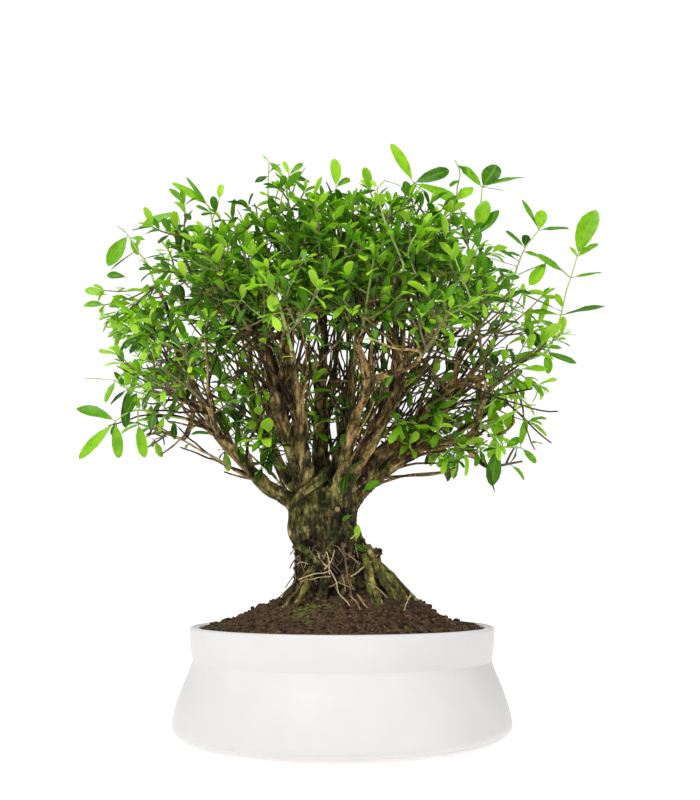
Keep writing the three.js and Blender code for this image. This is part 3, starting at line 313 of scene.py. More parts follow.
# The same shoots as they are seen in the picture: stems and twigs as picture points at one depth, and
# leaves as foot, tip, width share, how far the blade is turned to the viewer, and tone
SEEN_SHOOTS = [
    {
        "depth": -2, "stem": [(545, 353), (554, 337), (561, 315), (566, 292), (571, 277), (577, 257)],
        "twigs": [[(570, 277), (558, 267), (547, 262)]],
        "leaves": [
            ((577, 257), (590, 213), 0.44, 1, 0.7), ((577, 256), (571, 247), 0.4, 0.6, 0.8),
            ((577, 256), (596, 243), 0.3, 0.5, 0.8), ((571, 278), (600, 272), 0.3, 0.5, 0.6),
            ((566, 272), (538, 256), 0.3, 0.6, 0.6), ((547, 262), (531, 283), 0.44, 1, 0.8),
            ((547, 263), (520, 274), 0.24, 0.4, 0.5), ((561, 316), (603, 306), 0.34, 0.5, 0.4),
            ((561, 316), (531, 312), 0.34, 0.5, 0.65), ((559, 311), (524, 295), 0.2, 0.3, 0.6),
            ((563, 308), (557, 294), 0.45, 0.8, 0.8), ((553, 336), (566, 333), 0.3, 0.4, 0.7),
            ((553, 336), (539, 329), 0.3, 0.4, 0.7), ((547, 351), (575, 363), 0.36, 0.7, 0.5),
            ((545, 352), (527, 329), 0.5, 0.8, 0.35), ((545, 353), (516, 357), 0.4, 0.6, 0.7),
            ((545, 354), (550, 372), 0.4, 0.5, 0.7),
        ],
    },
    {
        "depth": 9, "stem": [(512, 283), (518, 265), (525, 248), (539, 230)],
        "twigs": [],
        "leaves": [
            ((539, 229), (542, 211), 0.62, 1, 0.8), ((539, 229), (522, 201), 0.2, 0.3, 0.6),
            ((540, 230), (568, 228), 0.34, 0.6, 0.5), ((525, 248), (508, 231), 0.28, 0.6, 0.5),
            ((525, 247), (526, 235), 0.55, 1, 0.3), ((521, 256), (508, 252), 0.42, 0.6, 0.5),
            ((519, 262), (495, 247), 0.24, 0.4, 0.5), ((518, 266), (490, 258), 0.24, 0.3, 0.4),
            ((523, 252), (540, 257), 0.4, 0.7, 0.6), ((515, 274), (500, 270), 0.4, 0.7, 0.4),
        ],
    },
    {
        "depth": -10, "stem": [(477, 237), (481, 202), (482, 187)],
        "twigs": [[(479, 225), (460, 210), (457, 191), (460, 173), (455, 160)]],
        "leaves": [
            ((482, 187), (463, 167), 0.42, 0.8, 0.65), ((484, 182), (497, 167), 0.7, 1, 0.4),
            ((484, 183), (521, 175), 0.26, 0.5, 0.6), ((483, 184), (502, 190), 0.2, 0.3, 0.5),
            ((458, 200), (471, 187), 0.55, 1, 0.85), ((479, 232), (484, 202), 0.55, 1, 0.75),
            ((479, 235), (498, 212), 0.4, 0.8, 0.5), ((455, 160), (438, 143), 0.24, 0.5, 0.6),
            ((457, 165), (466, 170), 0.4, 0.8, 0.4), ((460, 180), (450, 186), 0.4, 0.8, 0.5),
        ],
    },
    {
        "depth": -15, "stem": [(408, 205), (411, 190), (414, 183)],
        "twigs": [],
        "leaves": [
            ((414, 181), (392, 146), 0.3, 0.8, 0.8), ((414, 183), (447, 170), 0.42, 0.9, 0.4),
            ((415, 183), (457, 199), 0.3, 0.8, 0.7), ((410, 191), (388, 179), 0.22, 0.3, 0.3),
            ((414, 185), (425, 191), 0.3, 0.4, 0.3), ((410, 192), (422, 203), 0.45, 0.7, 0.4),
        ],
    },
    {
        "depth": -30, "stem": [(278, 266), (271, 222), (268, 196), (269, 162)],
        "twigs": [[(277, 258), (279, 235), (280, 206), (286, 184), (289, 175)]],
        "leaves": [
            ((269, 163), (263, 156), 0.3, 0.5, 0.9), ((269, 163), (281, 171), 0.45, 0.7, 0.7),
            ((269, 161), (285, 178), 0.2, 0.3, 0.8), ((268, 177), (256, 182), 0.6, 1, 0.3),
            ((269, 171), (281, 164), 0.3, 0.6, 0.7), ((268, 196), (260, 192), 0.5, 0.8, 0.8),
            ((268, 197), (280, 199), 0.42, 0.8, 0.5), ((289, 175), (302, 164), 0.4, 0.7, 0.6),
            ((289, 175), (284, 162), 0.35, 0.7, 0.9), ((289, 176), (309, 181), 0.42, 0.8, 0.4),
            ((286, 184), (275, 172), 0.3, 0.5, 0.8),
        ],
    },
    {
        "depth": -20, "stem": [(338, 235), (337, 215), (336, 195), (336, 186)],
        "twigs": [],
        "leaves": [
            ((336, 187), (337, 160), 0.42, 1, 0.85), ((336, 187), (350, 179), 0.4, 0.7, 0.6),
            ((336, 190), (340, 229), 0.45, 1, 0.75), ((337, 192), (360, 203), 0.4, 0.8, 0.4),
            ((336, 190), (318, 199), 0.4, 0.7, 0.5),
        ],
    },
    {
        "depth": 0, "stem": [(213, 225), (211, 214), (209, 206)],
        "twigs": [[(213, 220), (217, 208), (219, 199)]],
        "leaves": [
            ((209, 206), (176, 183), 0.24, 0.8, 0.75), ((210, 208), (186, 178), 0.18, 0.6, 0.6),
            ((219, 199), (221, 185), 0.5, 0.9, 0.9), ((212, 212), (197, 206), 0.4, 0.7, 0.5),
        ],
    },
    {
        "depth": 5, "stem": [(183, 245), (180, 225), (177, 212)],
        "twigs": [],
        "leaves": [
            ((177, 212), (143, 225), 0.3, 0.9, 0.65), ((183, 245), (166, 241), 0.24, 0.4, 0.5),
            ((182, 243), (171, 228), 0.48, 0.9, 0.85), ((181, 233), (196, 226), 0.42, 0.8, 0.5),
        ],
    },
    {
        "depth": -5, "stem": [(148, 265), (139, 253), (130, 238), (128, 235)],
        "twigs": [],
        "leaves": [
            ((128, 235), (108, 263), 0.42, 1, 0.65), ((128, 235), (117, 225), 0.18, 0.3, 0.7),
            ((130, 238), (137, 254), 0.4, 0.9, 0.75), ((131, 238), (144, 239), 0.5, 0.9, 0.7),
            ((136, 248), (141, 236), 0.4, 0.8, 0.7), ((137, 251), (112, 268), 0.2, 0.3, 0.4),
            ((143, 259), (165, 254), 0.24, 0.4, 0.4),
        ],
    },
    {
        "depth": -12, "stem": [(186, 419), (161, 415), (140, 410), (125, 414), (115, 422)],
        "twigs": [[(138, 411), (138, 423)], [(172, 417), (158, 400), (140, 393), (128, 389), (114, 380)]],
        "leaves": [
            ((115, 422), (80, 455), 0.24, 0.8, 0.75), ((116, 422), (120, 455), 0.36, 1, 0.7),
            ((116, 420), (81, 407), 0.36, 0.7, 0.6), ((138, 423), (145, 455), 0.34, 1, 0.75),
            ((128, 390), (111, 403), 0.34, 0.6, 0.3), ((128, 390), (124, 426), 0.28, 0.8, 0.35),
            ((137, 392), (127, 412), 0.5, 0.9, 0.45), ((114, 381), (87, 378), 0.16, 0.3, 0.8),
            ((116, 381), (105, 401), 0.32, 0.8, 0.7), ((142, 394), (160, 384), 0.42, 0.8, 0.5),
            ((126, 388), (128, 362), 0.36, 0.9, 0.9), ((125, 388), (116, 372), 0.4, 0.8, 0.5),
            ((172, 417), (172, 404), 0.45, 0.9, 0.5), ((165, 416), (160, 430), 0.4, 0.8, 0.85),
            ((150, 412), (158, 421), 0.3, 0.5, 0.5), ((140, 411), (135, 397), 0.45, 0.9, 0.7),
        ],
    },
    {
        "depth": -15, "stem": [(473, 437), (487, 446), (505, 447), (522, 448)],
        "twigs": [[(473, 437), (480, 415), (491, 392), (510, 374), (532, 366)]],
        "leaves": [
            ((498, 447), (491, 483), 0.42, 1, 0.45), ((503, 446), (490, 410), 0.42, 1, 0.75),
            ((505, 446), (520, 439), 0.5, 0.8, 0.65), ((520, 448), (524, 421), 0.28, 0.9, 0.65),
            ((522, 448), (535, 462), 0.4, 0.8, 0.6), ((500, 446), (484, 451), 0.4, 0.6, 0.5),
            ((476, 440), (497, 489), 0.07, 0.4, 0.3), ((480, 415), (478, 396), 0.45, 0.8, 0.5),
            ((482, 412), (503, 405), 0.45, 0.8, 0.6), ((491, 392), (500, 410), 0.4, 0.8, 0.6),
            ((510, 374), (521, 386), 0.4, 0.7, 0.5), ((520, 370), (545, 367), 0.34, 0.6, 0.8),
            ((478, 421), (462, 418), 0.42, 0.7, 0.6), ((474, 436), (455, 444), 0.45, 0.8, 0.75),
        ],
    },
    {
        "depth": -70, "stem": [(404, 268), (395, 245), (385, 222), (379, 200), (377, 188)],
        "twigs": [[(416, 274), (408, 256), (411, 243), (421, 228)], [(472, 306), (460, 272), (455, 258)]],
        "leaves": [
            ((377, 188), (371, 180), 0.4, 0.8, 0.9), ((377, 189), (385, 180), 0.4, 0.8, 0.9),
            ((379, 202), (370, 197), 0.4, 0.8, 0.8), ((380, 205), (389, 200), 0.4, 0.8, 0.8),
            ((421, 228), (430, 213), 0.4, 0.9, 0.85), ((421, 229), (438, 232), 0.42, 0.9, 0.75),
            ((420, 229), (411, 220), 0.42, 0.9, 0.75), ((455, 258), (440, 243), 0.4, 0.9, 0.85),
            ((455, 258), (457, 243), 0.4, 0.9, 0.85), ((456, 261), (432, 256), 0.4, 0.9, 0.7),
        ],
    },
]

# How a blade faces that is seen edge on, and one that is seen in full
EDGE_ON = Vector((0, 0, 1))
FULL_ON = Vector((0, -1, 0.25))

# Single leaves on the trunk and at the crown's left edge, as they are seen: foot, tip, depth and tone
SINGLE_LEAVES = [
    ((356, 541), (358.5, 526), -21, 0.75), ((352, 515), (342, 519), -24, 0.4),
    ((363, 491), (377, 480), -14, 0.6), ((354, 544), (365, 551), -22, 0.3),
    ((107, 295), (86, 289), -5, 0.75), ((104, 305), (87, 303), -8, 0.6),
    ((126, 277), (107, 275), 4, 0.5),
]
SINGLE_LEAF_WIDTH = 0.45

# Regions of the picture with tufts in the open: left, top, right, bottom and how many are tried
OPEN_TUFTS = [
    (400, 422, 500, 460, 30), (215, 392, 300, 455, 20), (430, 372, 540, 430, 18), (325, 398, 372, 445, 8),
    (180, 335, 260, 400, 14), (240, 440, 275, 470, 4), (520, 290, 562, 345, 14), (100, 290, 170, 345, 26),
    (110, 350, 190, 400, 12),
]
OPEN_TUFT_DEPTHS = (-38, 22)
OPEN_TUFT_REACH = (5, 34)
TUFT_WITH_LOWER_PAIR = 13
TUFT_LEAF_LENGTHS = (8, 14)
TUFT_STEM_RADII = (0.55, 0.5, 0.45, 0.4, 0.36, 0.33)
LOW_TUFTS = 40
LOW_TUFT_STARTS = (0.2, 0.62)
LOW_TUFT_LENGTHS = (7, 22)

# Fine twigs: those that climb beside a limb, and those that fan out from a centre to the crown's leaves
LIMB_TWIGS = 235
LIMB_TWIG_ASIDE = 17
LIMB_TWIG_STARTS = (0.06, 0.5)
LIMB_TWIG_SPANS = (0.3, 0.55)
LIMB_TWIG_RADII = (0.75, 1.35)
CROWN_TWIGS = 330
CROWN_TWIG_STARTS = (0.2, 0.95)
CROWN_TWIG_REACH = (0.62, 0.93)
CROWN_TWIG_RADII = (0.75, 1.15)
TWIG_END_RADIUS = 0.42
TWIG_LEAF_LENGTHS = (7.5, 12)
STARTS_TRIED = 26
FAN_CENTRE = Vector((0, 0, 112))
FAN_WEIGHT = 2.5
TWIG_WANDER = {"size": 12, "reach": 1.3}

# Seeds of the layout's draws, as in the solids
STEM_SEED = 500
CROWN_SEED = 1000
SPRAY_SEED = 2000
SHOOT_SEED = 6000
PLAN_SEEDS = 50
BRANCH_SEED = 30

# Leaves: sizes, how far a tip may reach past the solids' box, and a blade's points along and across it
INTERNODE = 6.2
LEAF_LENGTH = 12.2
OVER_EDGE = (6, 2.8, 6)
LEAF_THICKNESS = 0.3
LEAF_STATIONS = [0.12, 0.32, 0.56, 0.78, 0.93]
LEAF_ACROSS = [-1, -0.5, 0, 0.5, 1]

# How a leaf's form is drawn: ranges, as shares of its length or in radians, and the wave of its edge
LEAF_REACH = 1.1
STALK_LENGTH = (0.05, 0.1)
LEAF_BEND = (-0.1, 0.1)
LEAF_FOLD = (0.08, 0.34)
LEAF_ARCH = (0.5, 1.5)
LEAF_TWIST = (-0.5, 0.5)
LEAF_WIDTHS = (0.34, 0.47)
EDGE_WAVE = {"height": 0.05, "along": 9, "across": 1.5}
EDGE_PHASES = (0, 6.28)
STALK_RADII = (0.34, 0.3, 0.2)

# Side twigs and bright leaves: the chance of each, how long the twig is, and how much brighter the leaf
SIDE_TWIG_CHANCE = 0.62
SIDE_TWIG_LENGTHS = (8, 17)
BRIGHT_LEAVES = 0.34
BRIGHTER_BY = 0.46

# Where leaves are few, by distance from the crown's axis and by height, each change over a blend
BARE_MIDDLE = {"half_width": 96, "side_blend": 26, "height": 236, "blend": 22, "loss": 0.8}
BARE_MIDDLE_RISE_TO_BACK = 0.27
BARE_MIDDLE_DROP = 10
BARE_MIDDLE_DROP_WIDTH = 60
LOW_LEAVES = {"height": 160, "radius": 32, "share": 0.08}
OPEN_SIDE = {"from": 74, "side_blend": 18, "height": 265, "blend": 25, "right_loss": 0.5, "left_loss": 0.12}
LOW_SIDE = {"from": 80, "side_blend": 15, "height": 212, "blend": 15, "right_loss": 0.8, "left_loss": 0.55}

# Marks that the materials read at each point of a mesh
LEAF_MARKS = ("across", "along", "under", "tone")
BARK_MARKS = ("relief", "young", "moss", "crumb")
SOIL_MARKS = ("tone", "moss")


def mix(a, b, share):
    return a + (b - a) * share


def clamp(value, low=0.0, high=1.0):
    return max(low, min(high, value))


def fade(values, zero, one):
    """0 where values are at one mark, 1 where they are at another, and even between them."""
    return np.clip((values - zero) / (one - zero), 0, 1)


def draws_from(seed):
    """Seeded draws between 0 and 1, the same on every run."""
    state = (seed * 7919 + 104729) % 4294967296

    def draw():
        nonlocal state
        state = (state * 1664525 + 1013904223) % 4294967296
        return state / 4294967296

    draw()
    draw()
    return draw


def seen(point, depth):
    """The place at a depth that the picture shows at a picture point."""
    u, v = point
    pitch = math.radians(CAMERA_PITCH)
    camera = Vector(CAMERA_PLACE)
    away = depth - camera.y
    rise = away * math.tan(pitch + math.atan((PICTURE_HEIGHT / 2 - v) / FOCAL_PIXELS))
    far = away * math.cos(pitch) + rise * math.sin(pitch)
    return Vector((camera.x + (u - PICTURE_WIDTH / 2) * far / FOCAL_PIXELS, depth, camera.z + rise))


def fractal(points, size, octaves=3, seed=0.0):
    """Fractal noise from about -1 to 1 at each point, with its largest lumps of a size."""
    shift = Vector((seed * 13.7, seed * 7.3, seed * 3.1))
    return np.array([noise.fractal(Vector(p) / size + shift, 1.0, 2.1, octaves) for p in points])


# Curves


class Curve:
    """A smooth curve whose point and way can be asked for at any share of its course."""

    def way(self, t):
        low = max(t - 0.0001, 0)
        high = min(t + 0.0001, 1)
        return (self.at(high) - self.at(low)).normalized()

    def line(self, steps, first=0.0, last=1.0):
        """Points on the curve, as an array."""
        return np.array([self.at(mix(first, last, i / steps)) for i in range(steps + 1)])

    def length(self):
        points = self.line(24)
        return float(np.linalg.norm(np.diff(points, axis=0), axis=1).sum())


class Smooth(Curve):
    """A curve through all its points."""

    def __init__(self, points):
        self.points = [Vector(p) for p in points]

    def at(self, t):
        points = self.points
        place = (len(points) - 1) * t
        index = min(int(place), len(points) - 2)
        share = place - index
        b, c = points[index], points[index + 1]
        a = points[index - 1] if index > 0 else 2 * b - c
        d = points[index + 2] if index + 2 < len(points) else 2 * c - b
        leave = (c - a) / 2
        arrive = (d - b) / 2
        square = share * share
        cube = square * share
        return (b * (2 * cube - 3 * square + 1) + c * (3 * square - 2 * cube)
                + leave * (cube - 2 * square + share) + arrive * (cube - square))


class Bezier(Curve):
    """A curve from the first point to the last, drawn towards those between them."""

    def __init__(self, *points):
        self.points = [Vector(p) for p in points]

    def at(self, t):
        points = self.points
        while len(points) > 1:
            points = [a.lerp(b, t) for a, b in zip(points, points[1:])]
        return points[0]


# Layout of the wood, by the rules of the solids


def crown_reach(direction):
    """How far the crown reaches from its centre in a direction."""
    across = CROWN_REACH["left"] if direction.x < 0 else CROWN_REACH["right"]
    along = CROWN_REACH["front"] if direction.y < 0 else CROWN_REACH["back"]
    total = (
        (abs(direction.x) / across) ** CROWN_ROUNDNESS
        + (abs(direction.y) / along) ** CROWN_ROUNDNESS
        + (abs(direction.z) / CROWN_REACH["up"]) ** CROWN_ROUNDNESS
    )
    return total ** (-1 / CROWN_ROUNDNESS)


def crown_direction(index):
    """The way of a spray from the crown's centre. The sprays are spread evenly over its dome."""
    azimuth = index * GOLDEN_ANGLE
    lowest = mix(SIDE_ELEVATION, FRONT_ELEVATION, abs(math.sin(azimuth)) ** 1.4)
    height = 1 - ((index + 0.5) / SPRAYS) ** CROWN_FILL * (1 - math.sin(lowest))
    level = math.sqrt(1 - height * height)
    return Vector((math.cos(azimuth) * level, math.sin(azimuth) * level, height))


class Plan:
    """Where a spray or shoot starts, a point that it bends by, its tip, and a shoot's form as it is seen."""

    def __init__(self, name, seed, points, shoot=None):
        self.name = name
        self.seed = seed
        self.start, self.by, self.tip = [Vector(p) for p in points]
        self.shoot = shoot
        self.way = (self.by - self.start).normalized()
        self.reach = (self.tip - self.start).length


def spray_plan(index):
    direction = crown_direction(index)
    reach = crown_reach(direction)
    draw = draws_from(CROWN_SEED + index)
    start = CROWN_CENTRE + direction * reach * mix(SPRAY_START - 0.04, SPRAY_START + 0.04, draw())
    tip = CROWN_CENTRE + direction * reach * mix(SPRAY_END - 0.05, SPRAY_END, draw())
    by = start.lerp(tip, 0.5)
    by.z += mix(-3, 5, draw())
    return Plan(f"leafy_spray_{index + 1:02d}", SPRAY_SEED + PLAN_SEEDS * index, (start, by, tip))


def shoot_plan(index, points, shoot):
    return Plan(f"long_shoot_{index + 1:02d}", SHOOT_SEED + PLAN_SEEDS * index, points, shoot)


plans = [spray_plan(i) for i in range(SPRAYS)]
plans += [shoot_plan(i, *shoot) for i, shoot in enumerate(zip(LONG_SHOOTS, SEEN_SHOOTS))]


def way_cost(curve, t, target):
    """What it costs to reach a point from a place on a limb."""
    way = target - curve.at(t)
    return way.length * (1.6 - 0.6 * curve.way(t).dot(way.normalized()))


limb_ends = []
for _, limb_points in LIMBS:
    limb_way = Smooth(limb_points)
    free_plans = [plan for plan in plans if plan not in limb_ends]
    limb_ends.append(min(free_plans, key=lambda plan: way_cost(limb_way, 1, plan.start)))


def straightness(a, b, c):
    """How straight the way is over three points: 1 where it doesn't bend, and -1 where it turns back."""
    return (b - a).normalized().dot((c - b).normalized())


def limb_curve(points, plan):
    """A limb's way into its spray, without any last points that would make it turn back."""
    points = [Vector(p) for p in points]
    arrive = plan.start - plan.way * LIMB_END_LENGTH
    while straightness(points[-2], points[-1], arrive) < LIMB_STRAIGHTNESS:
        points.pop()
    return Smooth([*points, arrive, plan.start])


limb_curves = [limb_curve(points, plan) for (_, points), plan in zip(LIMBS, limb_ends)]

taken = []


def branch_start(target):
    """The free place on a limb from which a branch reaches a point at the least cost."""
    best = (math.inf, None, 0)
    for curve in limb_curves:
        t = BRANCH_FIRST_PLACE
        while t < BRANCH_LAST_PLACE:
            is_free = all(other is not curve or abs(place - t) > BRANCH_SPACING for other, place in taken)
            cost = way_cost(curve, t, target)
            if is_free and cost < best[0]:
                best = (cost, curve, t)
            t += 0.04
    taken.append(best[1:])
    return best[1:]


def branch_curve(plan):
    draw = draws_from(plan.seed + BRANCH_SEED)
    limb_way, t = branch_start(plan.start)
    start = limb_way.at(t) + Vector([mix(-0.4, 0.4, draw()) for _ in range(3)])
    length = (plan.start - start).length
    leave = start + limb_way.way(t) * length * 0.35
    arrive = plan.start - plan.way * length * 0.3
    return Bezier(start, leave, arrive, plan.start)


branch_curves = [branch_curve(plan) for plan in plans if plan not in limb_ends]


def around(way, angle):
    """A direction at right angles to a twig, turned round it by an angle."""
    level = UP.cross(way)
    if level.length < 0.05:
        level = Vector((1, 0, 0))
    level.normalize()
    upper = way.cross(level).normalized()
    return level * math.cos(angle) + upper * math.sin(angle)


def main_curve(plan, aside, angle):
    """A spray's main twig, with its tip moved aside by a share of its reach."""
    tip = plan.tip + around(plan.way, angle) * aside * plan.reach
    return Bezier(plan.start + plan.way * GAP, plan.by, tip)


def node_points(name):
    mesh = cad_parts[name].data
    points = np.empty(len(mesh.vertices) * 3)
    mesh.vertices.foreach_get("co", points)
    return points.reshape(-1, 3) / MM


def nearness(points, curve, places):
    """How far a curve runs from a solid's skin at some places, in all."""
    return sum(np.linalg.norm(points - np.array(curve.at(t)), axis=1).min() for t in places)


def side_curves(plan, main, turn, draw):
    """The two side twigs of a spray."""
    at = main.at(SIDE_TWIG_NODE)
    along = main.way(SIDE_TWIG_NODE)
    curves = []
    for i in range(2):
        out = around(along, turn + i * math.pi)
        length = plan.reach * mix(SHORTEST_SIDE_TWIG, LONGEST_SIDE_TWIG, draw())
        by = at + along * length * 0.22 + out * length * 0.36
        to = at + along * length * 0.66 + out * length * 0.66
        to.z += length * mix(-0.04, 0.14, draw())
        curves.append(Bezier(at, by, to))
    return curves


def grown(plan):
    """A spray's main twig, bent as its solid is, and its two side twigs."""
    draw = draws_from(plan.seed)
    turn = draw() * math.pi
    points = node_points(plan.name)
    bends = [main_curve(plan, i * BEND_STEP, turn + i * GOLDEN_ANGLE) for i in range(MOST_BENDS)]
    main = min(bends, key=lambda curve: nearness(points, curve, (0.66, 0.96)))
    sides = [] if plan.shoot else side_curves(plan, main, turn, draw)
    return main, sides


# Meshes


class Form:
    """A mesh being gathered: points, faces, and the marks that its materials read at each point."""

    def __init__(self, *marks):
        self.points = []
        self.faces = []
        self.finishes = []
        self.marks = {mark: [] for mark in marks}
        self.count = 0

    def add(self, points, faces, finish=0, **marks):
        points = np.asarray(points, float)
        self.points.append(points)
        self.faces.append((np.asarray(faces) + self.count).tolist())
        self.finishes += [finish] * len(faces)
        for mark, values in self.marks.items():
            values.append(np.broadcast_to(np.asarray(marks.get(mark, 0.0), float), (len(points),)))
        self.count += len(points)

    def mesh(self, name):
        made = bpy.data.meshes.new(name)
        faces = [face for group in self.faces for face in group]
        made.from_pydata((np.concatenate(self.points) * MM).tolist(), [], faces)
        made.polygons.foreach_set("material_index", self.finishes)
        for mark, values in self.marks.items():
            made.attributes.new(mark, "FLOAT", "POINT").data.foreach_set("value", np.concatenate(values))
        return made


def add_piece(name, shape, materials, nodes=(), sharp=None):
    """A piece of the scene, from a form or a mesh. It takes the place of any nodes that it names."""
    mesh = shape.mesh(name) if isinstance(shape, Form) else shape
    mesh.validate()
    mesh.shade_smooth()
    if sharp:
        mesh.set_sharp_from_angle(angle=math.radians(sharp))
    for material in materials:
        mesh.materials.append(material)
    piece = bpy.data.objects.new(name, mesh)
    bpy.context.scene.collection.objects.link(piece)
    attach(piece, "root")
    if nodes:
        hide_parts(*nodes)
    return piece


def unit(vectors):
    return vectors / np.maximum(np.linalg.norm(vectors, axis=-1, keepdims=True), 1e-9)


def ring_frames(centres):
    """A line's way and two directions square to it at each point, turned as little as possible."""
    ways = unit(np.gradient(centres, axis=0))
    normal = np.array((0.31, -0.87, 0.38))
    normals = []
    for way in ways:
        normal = normal - way * normal.dot(way)
        normal = normal / max(np.linalg.norm(normal), 1e-9)
        normals.append(normal)
    normals = np.array(normals)
    return ways, normals, np.cross(ways, normals)


def tube_points(centres, radii, sides):
    """The rings of a tube, and a closing point at each end."""
    ways, normals, across = ring_frames(centres)
    angles = np.arange(sides) / sides * 2 * math.pi
    cosines, sines = np.cos(angles)[None, :, None], np.sin(angles)[None, :, None]
    circle = normals[:, None] * cosines + across[:, None] * sines
    radii = np.broadcast_to(radii, (len(centres),))
    rings = centres[:, None] + circle * radii[:, None, None]
    ends = [centres[0] - ways[0] * radii[0] * 0.5, centres[-1] + ways[-1] * radii[-1] * 0.9]
    return np.concatenate([rings.reshape(-1, 3), ends])


def tube_faces(count, sides):
    """Quads between the rings of a tube, and triangles to its closing points, all as rows of three."""
    ring = np.arange(sides)
    after = (ring + 1) % sides
    start = np.arange(count - 1)[:, None] * sides
    a, b = start + ring, start + after
    c, d = b + sides, a + sides
    quads = np.concatenate([np.stack([a, b, c], -1).reshape(-1, 3), np.stack([a, c, d], -1).reshape(-1, 3)])
    first = np.stack([after, ring, np.full(sides, count * sides)], -1)
    top = (count - 1) * sides
    last = np.stack([top + ring, top + after, np.full(sides, count * sides + 1)], -1)
    return np.concatenate([quads, first, last])


def add_tube(form, centres, radii, sides, finish=0, **marks):
    points = tube_points(np.asarray(centres), radii, sides)
    form.add(points, tube_faces(len(centres), sides), finish, **marks)
    return points


# Leaves


def leaf_template():
    """A blade as places across it (-1 to 1), along it (0 to 1) and through it (-1 to 1), and its faces."""
    top = [(c, s, 1 - c * c) for s in LEAF_STATIONS for c in LEAF_ACROSS]
    under = [(c, s, c * c - 1) for s in LEAF_STATIONS for c in LEAF_ACROSS[1:-1]]
    places = top + under + [(0, 0, 0), (0, 1, 0)]
    width = len(LEAF_ACROSS)
    rows = len(LEAF_STATIONS)
    foot, tip = len(places) - 2, len(places) - 1

    def upper(row, column):
        return row * width + column

    def lower(row, column):
        if column in (0, width - 1):
            return upper(row, column)
        return rows * width + row * (width - 2) + column - 1

    faces = []
    for column in range(width - 1):
        faces.append((foot, upper(0, column + 1), upper(0, column)))
        faces.append((foot, lower(0, column), lower(0, column + 1)))
        faces.append((tip, upper(rows - 1, column), upper(rows - 1, column + 1)))
        faces.append((tip, lower(rows - 1, column + 1), lower(rows - 1, column)))
        for row in range(rows - 1):
            a, b = upper(row, column), upper(row, column + 1)
            c, d = upper(row + 1, column + 1), upper(row + 1, column)
            faces += [(a, b, c), (a, c, d)]
            a, b = lower(row, column), lower(row, column + 1)
            c, d = lower(row + 1, column + 1), lower(row + 1, column)
            faces += [(a, c, b), (a, d, c)]
    return np.array(places, float), np.array(faces)


LEAF_PLACES, LEAF_FACES = leaf_template()
LEAF_LOW = [edge / MM - over for edge, over in zip(cad_box[0], OVER_EDGE)]
LEAF_HIGH = [edge / MM + over for edge, over in zip(cad_box[1], OVER_EDGE)]


def leaf_width(share):
    """The half width of a blade along its length, as a share of its widest."""
    return 2.87 * share ** 0.9 * np.maximum(1 - share, 0) ** 0.65


def add_leaf(form, foot, way, face, length, rng, width, tone, droop=0.12):
    """A blade that grows from its foot along a way, with its upper side turned to a face. It is left out if
    its tip would reach too far past the solids' box."""
    way = Vector(way).normalized()
    tip = Vector(foot) + way * length * LEAF_REACH
    if any(not low < place < high for low, place, high in zip(LEAF_LOW, tip, LEAF_HIGH)):
        return
    side = way.cross(Vector(face))
    if side.length < 0.05:
        side = way.orthogonal()
    side.normalize()
    face = side.cross(way)
    stalk = length * rng.uniform(*STALK_LENGTH)
    bend = rng.uniform(*LEAF_BEND)
    fold = rng.uniform(*LEAF_FOLD)
    arch = rng.uniform(*LEAF_ARCH) * droop
    twist = rng.uniform(*LEAF_TWIST)
    phase = rng.uniform(*EDGE_PHASES)
    across, along, through = LEAF_PLACES.T
    x = across * (leaf_width(along) * width * length / 2)
    wave = np.sin(along * EDGE_WAVE["along"] + phase + across * EDGE_WAVE["across"])
    rise = np.abs(x) * fold + EDGE_WAVE["height"] * length * width * wave * across ** 2
    rise = rise + through * LEAF_THICKNESS / 2
    turn = twist * along
    x, rise = x * np.cos(turn) - rise * np.sin(turn), x * np.sin(turn) + rise * np.cos(turn)
    lift = length * (0.5 * arch * along - 1.6 * arch * along ** 2)
    x = x + bend * length * along ** 2
    base = Vector(foot) + way * stalk
    points = np.array(base) + np.outer(along * length, way)
    points = points + np.outer(x, side) + np.outer(rise + lift, face)
    form.add(points, LEAF_FACES, 0, across=across, along=along, under=(through < 0) * 1.0, tone=tone)
    line = np.array([Vector(foot), Vector(foot) + way * stalk * 0.6, base + way * length * 0.06])
    add_tube(form, line, STALK_RADII, 3, 1, tone=tone)


# Materials


